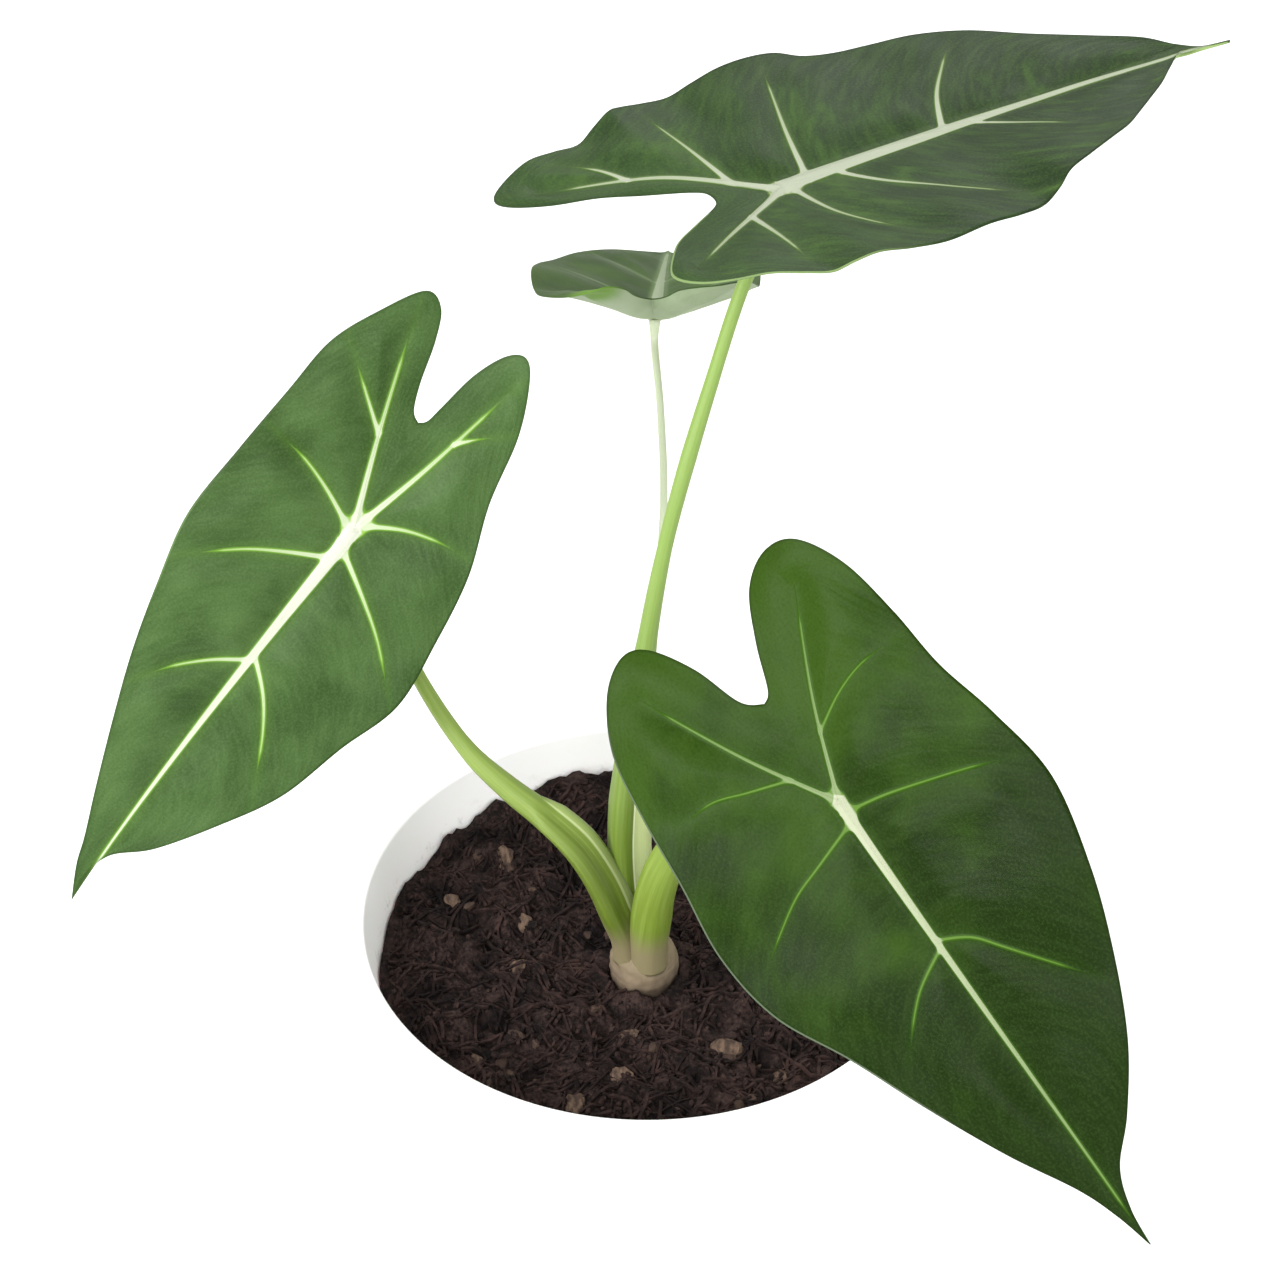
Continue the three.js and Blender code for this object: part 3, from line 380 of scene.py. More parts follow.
def blade_piece(name, leaf, look, veins, material):
    """A blade as one closed skin, with veins that swell on both faces and quilted fields between them."""
    halves = [half_rows(leaf, side) for side in (0, 1)]
    columns = BLADE_COLUMNS
    out = np.linspace(0, 1, columns + 1) ** 0.92
    xy, share, wave, reach, faces = [], [], [], [], []
    base = 0
    for side, (spine, edge, shares) in enumerate(halves):
        grid = spine[:, None] * (1 - out[None, :, None]) + edge[:, None, :2] * out[None, :, None]
        rows = len(spine)
        xy.append(grid.reshape(-1, 2))
        wave.append(np.repeat(edge[:, 2], columns + 1))
        share.append(np.repeat(shares, columns + 1))
        reach.append(np.tile(out, rows))
        i, j = np.meshgrid(np.arange(rows - 1), np.arange(columns), indexing="ij")
        a = base + (i * (columns + 1) + j).ravel()
        quad = np.stack([a, a + 1, a + columns + 2, a + columns + 1], -1)
        faces.append(quad if side == 0 else quad[:, ::-1])
        base += rows * (columns + 1)
    xy, share, wave, reach = [np.concatenate(part) for part in (xy, share, wave, reach)]
    faces = np.concatenate(faces)
    key = np.round(xy * 1e4).astype(np.int64)
    _, first, rename = np.unique(key, axis=0, return_index=True, return_inverse=True)
    faces = rename.reshape(-1)[faces]
    xy, share, wave, reach = xy[first], share[first], wave[first], reach[first]
    height = blade_height(leaf, xy[:, 0], xy[:, 1], share, wave, reach)
    quilt = np.array([noise.noise(Vector((x * 0.045, y * 0.06, leaf["joint"][0]))) for x, y in xy])
    gap = np.full(len(xy), 99.0)
    ridge, keel, groove = np.zeros((3, len(xy)))
    frames = []
    for line, length, (wide, narrow), _ in veins:
        across, ahead = beside(line, xy)
        frames.append(np.column_stack([np.clip(across, -9, 9), ahead, np.zeros(len(xy))]))
        width = vein_half(wide, narrow, np.clip(ahead / length, 0, 1))
        outside = np.maximum(np.abs(across) - width, np.maximum(ahead - length, -ahead))
        gap = np.minimum(gap, outside)
        strength = smooth(0.5, 1.1, width)
        raised = np.sqrt(np.clip(-outside / np.maximum(width, 0.1), 0, 1))
        ridge = np.maximum(ridge, (0.35 + 0.5 * width) * strength * raised)
        beyond = np.maximum(outside, 0)
        groove = np.maximum(groove, (0.12 + 0.3 * strength) * np.exp(-(beyond / 1.8) ** 2))
        keel = np.maximum(keel, (0.15 + 0.75 * width) * np.exp(-(beyond / 0.9) ** 2))
    edge_line = np.concatenate([through(leaf["left"], 10), through(leaf["right"], 10)[::-1]])[:, :2]
    edge = np.abs(beside(edge_line, xy, 0)[0])
    calm = 1 - smooth(0.74, 0.9, share)
    height = height + look["quilt"] * quilt * calm * smooth(0, 8, edge) * smooth(0, 7, gap)
    height = height + look["pillow"] * smooth(-1, 12, edge) * smooth(0, 9, gap)
    top = height + (ridge - groove) * smooth(0, 3, edge)
    thick = mix(BLADE_THICK, MARGIN_THICK, smooth(0.75, 1, reach))
    bottom = height - thick - keel * smooth(0, 3, edge)
    count = len(xy)
    corners = np.concatenate([np.column_stack([xy, top]), np.column_stack([xy, bottom])])
    edges = {}
    solid = []
    for face in faces.tolist():
        ring = [v for i, v in enumerate(face) if v != face[i - 1]]
        if len(ring) < 3 or len(set(ring)) != len(ring):
            continue
        solid.append(ring)
        solid.append([v + count for v in reversed(ring)])
        for i, v in enumerate(ring):
            w = ring[(i + 1) % len(ring)]
            edges[(v, w)] = True
    for v, w in edges:
        if (w, v) not in edges:
            solid.append([w, v, v + count, w + count])
    mesh = mesh_of(name, corners, solid)
    mesh.validate()
    fields = {"edge_mm": edge, "flow": np.column_stack([share, reach, np.sign(xy[:, 1])]),
              "flat": np.column_stack([xy / 10, np.zeros(count)])}
    fields.update({f"vein_{i}": values for i, values in enumerate(frames)})
    for label, values in fields.items():
        store(mesh, label, np.concatenate([values, values]))
    store(mesh, "under", np.repeat([0.0, 1.0], count))
    place = leaf_matrix(leaf)
    place.translation *= MM
    mesh.transform(place)
    soften(mesh)
    return add_piece(name, mesh, material)


# Leaf stalks
def stalk_piece(name, stalk, leaf, material):
    """A stalk swept along its path, with a grooved and lipped sheath below and a flare under the blade."""
    place = leaf_matrix(leaf)
    up = np.array(place.to_3x3() @ Vector((0, 0, 1)))
    joint = np.array(leaf["joint"], float)
    end = BLADE_THICK + STALK_END
    points = [np.array(p, float) for p in stalk["path"]] + [joint - up * (end + 6), joint - up * end]
    line = centripetal(points)
    shares = np.arange(STALK_RINGS + 1) / STALK_RINGS
    centres = along(line, shares, 3)
    tangents = np.gradient(centres, axis=0)
    tangents /= norm(tangents, axis=1)[:, None]
    tangents[0], tangents[-1] = (0, 0, 1), up
    across = np.cross(tangents, np.array(stalk["open"], float))
    across /= norm(across, axis=1)[:, None]
    front = np.cross(across, tangents)
    angle = 2 * np.pi * np.arange(STALK_SIDES) / STALK_SIDES
    angle = np.where(angle > np.pi, angle - 2 * np.pi, angle)
    radius = np.interp(shares * (len(stalk["radii"]) - 1), np.arange(len(stalk["radii"])), stalk["radii"])
    radius = radius * (1 + 0.45 * smooth(0.965, 1, shares))
    opened = np.clip((stalk["sheath"] - shares) * 26, 0, 1) * np.minimum(1, 9 * shares)
    groove = 0.3 * opened[:, None] * np.exp(-((angle / 0.55) ** 2))
    lips = stalk["edge"] * opened[:, None] * np.exp(-(((np.abs(angle) - 1.05) / 0.4) ** 2))
    flute = 0.01 * np.cos(9 * angle)[None, :]
    size = radius[:, None] * (1 - groove + lips + flute)
    corners = centres[:, None] + front[:, None] * (size * np.cos(angle))[..., None]
    corners = corners + across[:, None] * (size * np.sin(angle))[..., None]
    mesh = mesh_of(name, corners.reshape(-1, 3), tube_faces(0, STALK_RINGS, STALK_SIDES))
    turned = angle[None, :] / np.pi
    store(mesh, "flow", np.stack(np.broadcast_arrays(shares[:, None], turned, opened[:, None]), -1))
    soften(mesh, quads_only=True)
    return add_piece(name, mesh, material)


def centripetal(points, per=30):
    """A smooth line in space through points, spaced by the root of their distances."""
    points = [np.array(p, float) for p in points]
    first = 2 * points[0] - points[1]
    last = 2 * points[-1] - points[-2]
    padded = [first] + points + [last]
    line = []
    for i in range(1, len(padded) - 2):
        p = padded[i - 1:i + 3]
        dt = [max(1e-4, norm(p[k + 1] - p[k]) ** 0.5) for k in range(3)]
        t1 = (p[1] - p[0]) / dt[0] - (p[2] - p[0]) / (dt[0] + dt[1]) + (p[2] - p[1]) / dt[1]
        t2 = (p[2] - p[1]) / dt[1] - (p[3] - p[1]) / (dt[1] + dt[2]) + (p[3] - p[2]) / dt[2]
        line.append(bent(p[1], p[2], t1 * dt[1], t2 * dt[1], per))
    line.append(points[-1][None])
    return np.concatenate(line)


# Shader helpers
class Shader:
    """A node material built step by step; its colour is what has been painted so far."""

    def __init__(self, name, **constants):
        self.material = bpy.data.materials.new(name)
        self.material.use_nodes = True
        self.tree = self.material.node_tree
        self.surface = self.tree.nodes["Principled BSDF"]
        self.colour = None
        for socket, value in constants.items():
            self.surface.inputs[socket.replace("_", " ")].default_value = value

    def node(self, kind, inputs=(), **settings):
        made = self.tree.nodes.new(kind)
        for key, value in settings.items():
            setattr(made, key, value)
        for key, value in dict(inputs).items():
            self.put(made.inputs[key], value)
        return made

    def put(self, socket, value):
        if isinstance(value, bpy.types.NodeSocket):
            self.tree.links.new(value, socket)
        else:
            socket.default_value = value

    def attribute(self, name, output="Fac"):
        return self.node("ShaderNodeAttribute", attribute_name=name).outputs[output]

    def place(self):
        return self.node("ShaderNodeTexCoord").outputs["Object"]

    def math(self, operation, a, b=0.0):
        return self.node("ShaderNodeMath", {0: a, 1: b}, operation=operation).outputs[0]

    def times(self, a, b):
        return self.math("MULTIPLY", a, b)

    def plus(self, a, b):
        return self.math("ADD", a, b)

    def minus(self, a, b):
        return self.math("SUBTRACT", a, b)

    def size(self, a):
        return self.math("ABSOLUTE", a)

    def split(self, vector):
        return self.node("ShaderNodeSeparateXYZ", {0: vector}).outputs

    def join(self, x, y, z=0.0):
        return self.node("ShaderNodeCombineXYZ", {0: x, 1: y, 2: z}).outputs[0]

    def noise(self, vector, scale, detail=3.0, rough=0.5, distortion=0.0):
        inputs = {"Vector": vector, "Scale": scale, "Detail": detail, "Roughness": rough,
                  "Distortion": distortion}
        return self.node("ShaderNodeTexNoise", inputs).outputs["Fac"]

    def grain(self, axes, scales, *settings):
        """Noise stretched by a scale along each axis."""
        return self.noise(self.join(*map(self.times, axes, scales)), 1.0, *settings)

    def cells(self, vector, scale):
        return self.node("ShaderNodeTexVoronoi", {"Vector": vector, "Scale": scale}).outputs["Distance"]

    def ramp(self, value, low, high, to_low, to_high, kind="LINEAR"):
        inputs = {"Value": value, "From Min": low, "From Max": high, "To Min": to_low, "To Max": to_high}
        return self.node("ShaderNodeMapRange", inputs, interpolation_type=kind).outputs[0]

    def fade(self, value, low, high, to_low=0.0, to_high=1.0):
        return self.ramp(value, low, high, to_low, to_high, "SMOOTHSTEP")

    def blend(self, share, a, b):
        return self.node("ShaderNodeMix", {0: share, 6: a, 7: b}, data_type="RGBA").outputs[2]

    def cover(self, share, tint):
        self.colour = self.blend(share, self.colour, tint)

    def paint(self, tint, value, low, high, most=1.0):
        """Covers what is there with a tint, more and more as a value goes from low to high."""
        self.cover(self.fade(value, low, high, 0.0, most), tint)

    def bump(self, height, strength, distance):
        inputs = {"Height": height, "Strength": strength, "Distance": distance}
        return self.node("ShaderNodeBump", inputs).outputs[0]

    def finish(self, roughness, normal=None):
        self.put(self.surface.inputs["Base Color"], self.colour)
        self.put(self.surface.inputs["Roughness"], roughness)
        if normal is not None:
            self.put(self.surface.inputs["Normal"], normal)
        return self.material


def vein_fields(s, veins, flat):
    """How far a place is outside the nearest vein, with small webs where veins meet, and how pale it is."""
    gap = pale = None
    from_joint = s.node("ShaderNodeVectorMath", {0: flat}, operation="LENGTH").outputs["Value"]
    web = s.fade(from_joint, 1.5, 0.1, 1.4, 4.5)
    for index, (_, length, (wide, narrow), (near, far)) in enumerate(veins):
        across, ahead, _ = s.split(s.attribute(f"vein_{index}", "Vector"))
        left = s.math("POWER", s.ramp(ahead, 0, float(length), 1, 0), VEIN_TAPER)
        half = s.plus(s.times(left, float(wide - narrow)), float(narrow))
        one = s.minus(s.size(across), half)
        fading = s.times(s.minus(ahead, float(length - 9)), 0.1)
        ends = s.math("MAXIMUM", s.math("MAXIMUM", fading, s.times(ahead, -1)), 0)
        one = s.plus(one, ends)
        tint = s.times(s.fade(one, 0.8, 0), s.ramp(ahead, 0, float(length), near, far))
        if gap is None:
            gap, pale = one, tint
        else:
            gap = s.node("ShaderNodeMath", {0: gap, 1: one, 2: web}, operation="SMOOTH_MIN").outputs[0]
            pale = s.math("MAXIMUM", pale, tint)
    return gap, pale


def blade_material(name, look, veins):
    """Satin lamina with pale ribs and their bright fringe, arched fine veins and a pale margin."""
    s = Shader(name, Specular_IOR_Level=look["shine"])
    flat, flow = s.attribute("flat", "Vector"), s.attribute("flow", "Vector")
    share, out, side = s.split(flow)
    edge, under = s.attribute("edge_mm"), s.attribute("under")
    gap, pale = vein_fields(s, veins, flat)
    arched = s.plus(share, s.times(s.times(out, out), 0.1))
    axes = (arched, out, side)
    clouds = s.noise(flat, 0.4, 3, 0.5)
    streaks = s.grain(axes, (look["streaks"], 2, 3.7), 4, 0.62, 0.5)
    calm = s.fade(share, 0.88, 0.72)
    streaks = s.plus(s.times(s.minus(streaks, 0.5), calm), 0.5)
    fine = s.grain(axes, (130, 5, 3.7), 2)
    tone = s.plus(s.times(clouds, 1 - look["streaky"]), s.times(streaks, look["streaky"]))
    # painted sheen: the tone grows lighter or darker along the midrib, standing in for how light falls across
    # the blade
    tone = s.plus(tone, s.times(s.split(flat)[0], look["painted_sheen_slant"]))
    s.colour = s.blend(s.fade(tone, 0.32, 0.68), look["deep"], look["light"])
    mottle = s.times(s.fade(streaks, 0.5, 0.72), s.fade(clouds, 0.35, 0.6, 0.3, look["mottle"]))
    s.cover(s.times(mottle, look["mottle"]), look["pale"])
    s.paint(look["pale"], fine, 0.4, 0.7, look["fine"])
    grain = s.noise(flat, 16, 4, 0.6)
    s.paint(look["pale"], grain, 0.45, 0.65, 0.16)
    s.paint(look["deep"], grain, 0.48, 0.34, 0.2)
    s.paint(look["fringe"], gap, 3, 0, 0.1)
    s.paint(look["fringe"], gap, look["fringe_mm"], 0, 0.85)
    core = s.blend(pale, look["thin"], look["cream"])
    s.paint(core, gap, 0.1, -0.16)
    rim_side, rim_low, rim_high, rim_colour = look["rim"]
    rim = s.times(s.fade(share, rim_low - 0.06, rim_low + 0.04),
                  s.fade(share, rim_high + 0.06, rim_high - 0.04))
    rim = s.times(rim, s.fade(s.times(side, rim_side), 0, 0.5))
    s.paint(look["deep"], edge, 0.9, 0.2, look["edge"])
    s.cover(s.times(rim, s.fade(edge, 0.5, 0.25, 0, 0.8)), rim_colour)
    below = s.blend(s.fade(clouds, 0.3, 0.7), look["under"][0], look["under"][1])
    below = s.blend(s.fade(gap, 1.2, -0.2), below, look["under"][2])
    below = s.blend(s.fade(fine, 0.45, 0.75, 0, 0.25), below, look["under"][1])
    s.paint(below, under, 0.8, 0.95)
    # painted light: a pale green glow around one spot of the blade, standing in for light shining through it
    if "lit" in look:
        away = s.node("ShaderNodeVectorMath", {0: flat, 1: look["lit"]}, operation="DISTANCE")
        s.paint(rgb(92, 126, 46), away.outputs["Value"], 1, 0.2)
    skin = s.cells(flat, 55)
    lines = s.times(s.times(fine, look["ripple"]), calm)
    relief = s.plus(s.times(s.plus(skin, grain), 0.1), lines)
    waves = s.times(s.grain(axes, (60, 1.5, 3.7), 2), calm)
    relief = s.plus(relief, s.times(s.plus(streaks, waves), 0.6))
    relief = s.plus(relief, s.fade(gap, 0.6, -0.2, 0, 0.7))
    normal = s.bump(relief, 0.45, 0.0006)
    rough = s.fade(streaks, 0.3, 0.7, look["gloss"], look["gloss"] + 0.12)
    return s.finish(rough, normal)


def stalk_material(name, look):
    """Fleshy yellow-green stalk with fine lengthwise streaks, cream in the open sheath, beige at its foot."""
    s = Shader(name, Subsurface_Weight=0.1, Subsurface_Radius=(0.6, 1, 0.2), Subsurface_Scale=0.002,
               Specular_IOR_Level=0.35)
    flow = s.attribute("flow", "Vector")
    share, turned, opened = s.split(flow)
    facing = s.size(turned)
    z = s.split(s.place())[2]
    long = s.grain((share, facing), (4, 12), 4, 0.6)
    specks = s.grain((share, facing), (80, 12), 3, 0.7)
    s.colour = s.blend(s.fade(share, 0.1, 0.55), look["foot"], look["upper"])
    s.paint(look["line"], long, 0.38, 0.7, 0.3)
    s.paint(rgb(96, 122, 46), specks, 0.6, 0.74, 0.2)
    low, high = look["strip"]
    held = s.fade(opened, 0.1, 0.6, 0, look["cream"])
    strip = s.times(s.fade(turned, low - 0.02, low + 0.02), s.fade(turned, high + 0.02, high - 0.02))
    s.cover(s.times(strip, held), rgb(186, 198, 140))
    edges = ((low + 0.02, 0.025, rgb(222, 228, 186)), (high - 0.01, 0.04, rgb(186, 160, 122)))
    for place, width, tint in edges:
        line = s.fade(s.size(s.minus(turned, place)), width, width * 0.3)
        s.cover(s.times(line, held), tint)
    s.paint(rgb(134, 122, 94), z, 0.142, 0.131, 0.92)
    normal = s.bump(s.plus(long, s.times(specks, 0.3)), 0.3, 0.0004)
    return s.finish(s.fade(long, 0.3, 0.7, 0.42, 0.55), normal)


def corm_material():
    """Pinkish-beige skin with faint old leaf scars, darker where the soil touches it."""
    s = Shader("corm_skin", Specular_IOR_Level=0.3)
    place = s.place()
    axes = s.split(place)
    z = axes[2]
    rough = s.noise(place, 300, 4, 0.6)
    blots = s.noise(place, 90, 3, 0.5)
    scars = s.grain(axes, (50, 50, 520), 3)
    s.colour = s.blend(s.fade(blots, 0.35, 0.65), rgb(108, 94, 78), rgb(136, 120, 98))
    s.paint(rgb(92, 76, 62), rough, 0.5, 0.7, 0.4)
    s.paint(rgb(158, 142, 118), scars, 0.52, 0.7, 0.3)
    s.cover(s.fade(z, 0.1175, 0.123, 0.85, 0), rgb(44, 32, 28))
    s.paint(rgb(124, 112, 86), z, 0.122, 0.127, 0.7)
    normal = s.bump(s.plus(rough, s.times(scars, 0.4)), 0.4, 0.0005)
    return s.finish(s.fade(rough, 0.3, 0.7, 0.55, 0.75), normal)


def soil_material(name, dark, light, scale=1):
    s = Shader(name, Specular_IOR_Level=0.12)
    place = s.place()
    crumbs = s.noise(place, 900 * scale, 6, 0.65)
    clumps = s.noise(place, 130 * scale, 4, 0.6)
    shaded_hollows = s.noise(place, 75, 3, 0.55)
    tone = s.plus(s.times(crumbs, 0.6), s.times(clumps, 0.4))
    s.colour = s.blend(s.fade(tone, 0.38, 0.66), dark, light)
    # painted shade: near-black patches standing in for the shadow in the soil's hollows
    s.paint(rgb(10, 7, 8), shaded_hollows, 0.5, 0.36, 0.7)
    normal = s.bump(crumbs, 0.8, 0.001)
    return s.finish(s.fade(crumbs, 0.3, 0.7, 0.75, 0.95), normal)


def chip_material():
    s = Shader("bark_chips", Specular_IOR_Level=0.25)
    grain = s.grain(s.split(s.place()), (900, 260, 900), 4)
    s.colour = s.blend(s.fade(grain, 0.35, 0.7), rgb(58, 44, 36), rgb(104, 84, 70))
    s.cover(s.attribute("tone"), rgb(48, 34, 28))
    return s.finish(s.fade(grain, 0.3, 0.7, 0.7, 0.9), s.bump(grain, 0.7, 0.0008))


def pot_material():
    s = Shader("pot_plastic", Specular_IOR_Level=0.45, Subsurface_Weight=0.08, Subsurface_Scale=0.003)
    place = s.place()
    grain = s.noise(place, 1600, 3)
    smear = s.noise(place, 26, 4, 0.6)
    x, y, z = s.split(place)
    s.colour = s.blend(s.fade(smear, 0.35, 0.7), rgb(252, 252, 251), rgb(254, 254, 254))
    radius = s.math("SQRT", s.plus(s.times(x, x), s.times(y, y)))
    wall = s.minus(radius, s.times(z, (RIM_INNER_R - BASE_R + POT_WALL) / POT_HEIGHT))
    inner = s.fade(wall, (BASE_R - POT_WALL + 0.7) * MM, (BASE_R - POT_WALL + 0.3) * MM)
    dust = s.noise(place, 240, 5, 0.7)
    stain = s.times(s.fade(dust, 0.52, 0.72), s.times(inner, s.fade(z, 0.127, 0.118)))
    s.cover(s.times(stain, 0.4), rgb(120, 100, 86))
    return s.finish(s.fade(smear, 0.3, 0.7, 0.34, 0.48), s.bump(grain, 0.12, 0.0002))


# Pot, soil and corm
def finished(work, name):
    mesh = bpy.data.meshes.new(name)
    work.to_mesh(mesh)
    work.free()
    return mesh


def inner_r(z):
    """The radius of the pot's inner wall at a height."""
    return mix(BASE_R - POT_WALL, RIM_INNER_R, z / POT_HEIGHT)


def turned_mesh(name, profile, sides):
    """A closed shape turned about the axis; the profile starts and ends on it, in millimetres."""
    work = bmesh.new()
    rings = []
    for r, z in profile:
        if r < 1e-6:
            rings.append([work.verts.new((0, 0, z * MM))])
        else:
            angles = [2 * math.pi * k / sides for k in range(sides)]
            places = [(r * MM * math.cos(a), r * MM * math.sin(a), z * MM) for a in angles]
            rings.append([work.verts.new(place) for place in places])
    for low, high in zip(rings, rings[1:]):
        for k in range(sides):
            n = (k + 1) % sides
            if len(low) == 1:
                work.faces.new((low[0], high[n], high[k]))
            elif len(high) == 1:
                work.faces.new((low[k], low[n], high[0]))
            else:
                work.faces.new((low[k], low[n], high[n], high[k]))
    bmesh.ops.recalc_face_normals(work, faces=work.faces[:])
    return finished(work, name)


def rounded(points, reach, steps=4):
    """A profile whose inner corners are rounded by reach millimetres, where there is room."""
    points = [Vector((p[0], p[1])) for p in points]
    made = [points[0]]
    for before, corner, after in zip(points, points[1:], points[2:]):
        cut = min(reach, (before - corner).length * 0.45, (after - corner).length * 0.45)
        start = corner + (before - corner).normalized() * cut
        end = corner + (after - corner).normalized() * cut
        for k in range(steps + 1):
            t = k / steps
            made.append(start * (1 - t) ** 2 + corner * 2 * t * (1 - t) + end * t ** 2)
    made.append(points[-1])
    return [(p.x, p.y) for p in made]


def pot_piece():
    outer = lambda z: inner_r(z) + POT_WALL
    top, foot = POT_HEIGHT, POT_HEIGHT - RIM_BAND_HEIGHT
    profile = [(0, 0), (BASE_R - 1, 0), (BASE_R + 0.4, 3), (outer(foot), foot),
               (outer(foot) + RIM_BAND_OUT, foot + 0.4), (outer(top) + RIM_BAND_OUT - 0.2, top),
               (RIM_INNER_R, top), (inner_r(POT_FLOOR), POT_FLOOR), (0, POT_FLOOR)]
    mesh = turned_mesh("white_pot", rounded(profile, 1.2), POT_SIDES)
    piece = add_piece("white_pot", mesh, pot_material())
    past = POT_FLOOR + 3
    for k in range(DRAIN_COUNT):
        a = 2 * math.pi * (k + 0.5) / DRAIN_COUNT
        pin = turned_mesh("drill", [(0, -3), (DRAIN_R, -3), (DRAIN_R, past), (0, past)], 32)
        drill = new_object("drill", pin)
        drill.location = (DRAIN_RING_R * MM * math.cos(a), DRAIN_RING_R * MM * math.sin(a), 0)
        cut = piece.modifiers.new("drain", "BOOLEAN")
        cut.operation, cut.object, cut.solver = "DIFFERENCE", drill, "EXACT"
        with bpy.context.temp_override(object=piece, active_object=piece):
            bpy.ops.object.modifier_apply(modifier=cut.name)
        bpy.data.objects.remove(drill)
    soften(piece.data)
    piece.data.set_sharp_from_angle(angle=math.radians(35))
    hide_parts("pot")


def soil_height(x, y):
    """The solids' soil surface."""
    heap = 5.3 * np.maximum(0, y / RIM_INNER_R) ** 2
    lumps = 1.3 * np.sin(x * 0.21 + 1.3 * np.sin(y * 0.13)) * np.sin(y * 0.19 + 0.7)
    crumbs = 0.9 * np.sin(x * 0.67 + y * 0.31) * np.cos(y * 0.59 - x * 0.23 + 0.9)
    return SOIL_TOP + heap + lumps + crumbs


def rough_soil(x, y):
    """The soil's height with its clods and crumbs."""
    place = Vector((x, y, 0))
    clods = sum(noise.noise(place * scale) * high for scale, high in ((0.13, 1.5), (0.25, 1.2), (0.55, 0.8)))
    crumbs = abs(noise.noise(place * 1.3)) * 1.1 + noise.noise(place * 2.9) * 0.3
    hump = 1.8 * math.exp(-((x + 17) ** 2 + (y - 62) ** 2) / 90)
    return float(soil_height(x, y)) + clods + crumbs + hump - 0.5


def soil_piece(dark_soil):
    """A body of soil with a rough top and a plain hole for the corm."""
    rings, sectors = SOIL_RINGS, SOIL_SECTORS
    top_r = inner_r(SOIL_TOP) - 0.7
    verts, faces = [], []
    for ring in range(rings + 1):
        for k in range(sectors):
            a = 2 * math.pi * k / sectors
            c, s = math.cos(a), math.sin(a)
            b = CORM[0] * c + CORM[1] * s
            far = -b + math.sqrt(b * b - (CORM[0] ** 2 + CORM[1] ** 2) + top_r ** 2)
            r = mix(CORM_R + 0.1, far, (ring / rings) ** 0.9)
            x, y = CORM[0] + r * c, CORM[1] + r * s
            z = rough_soil(x, y)
            z += 0.8 * math.exp(-((r - CORM_R) / 3) ** 2)
            verts.append((x, y, min(z, SOIL_HIGHEST)))
    for ring in range(rings):
        for k in range(sectors):
            n = (k + 1) % sectors
            a, b = ring * sectors, (ring + 1) * sectors
            faces.append((a + k, b + k, b + n, a + n))
    inner_low, outer_low = len(verts), len(verts) + sectors
    floor_r, floor_z = inner_r(POT_FLOOR) - 1.8, POT_FLOOR + 0.3
    verts += [(x, y, CORM_BOTTOM) for x, y, _ in verts[:sectors]]
    for x, y, _ in verts[rings * sectors:(rings + 1) * sectors]:
        r = math.hypot(x, y)
        verts.append((x * floor_r / r, y * floor_r / r, floor_z))
    for k in range(sectors):
        n = (k + 1) % sectors
        faces.append((k, n, inner_low + n, inner_low + k))
        faces.append((outer_low + k, outer_low + n, rings * sectors + n, rings * sectors + k))
    faces.append(tuple(inner_low + k for k in range(sectors)))
    faces.append(tuple(outer_low + k for k in reversed(range(sectors))))
    mesh = mesh_of("potting_mix", verts, faces)
    soften(mesh, quads_only=True)
    piece = add_piece("potting_mix", mesh, dark_soil)
    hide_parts("soil")


def on_soil(rng, high_r):
    """A random place on the soil, clear of the corm."""
    while True:
        r = math.sqrt(rng.uniform(0, high_r ** 2))
        a = rng.uniform(0, 2 * math.pi)
        x, y = r * math.cos(a), r * math.sin(a)
        if math.hypot(x - CORM[0], y - CORM[1]) > CORM_R + 3:
            return x, y


def lump(work, centre, size, turn, rng, detail, tone, layer):
    """Adds one rough lump of ground matter."""
    made = bmesh.ops.create_icosphere(work, subdivisions=detail, radius=1.0)["verts"]
    matrix = Matrix.Translation(centre) @ turn.to_matrix().to_4x4() @ Matrix.Diagonal((*size, 1))
    seed = Vector((rng.uniform(0, 50), rng.uniform(0, 50), 0))
    for vert in made:
        dent = 1 + 0.38 * noise.noise(vert.co * 1.6 + seed)
        vert.co = (matrix @ (vert.co * dent)) * MM
        vert[layer] = tone


# The larger bark chips: x, y, size.
CHIPS = [(-38.6, 36, 4), (-31.9, 10.4, 3.6), (20.8, -34.3, 4.6), (-17.4, -52.2, 4.8), (-6.3, -45.2, 2.8),
         (-4.5, -30, 2.6), (-42.8, -38.1, 3), (-33.5, -5.4, 2.6), (34, -42, 3), (-52, 20, 3), (-20, 47, 3.6),
         (34, 30, 4), (48, -8, 3.6), (8, 56, 3.4)]


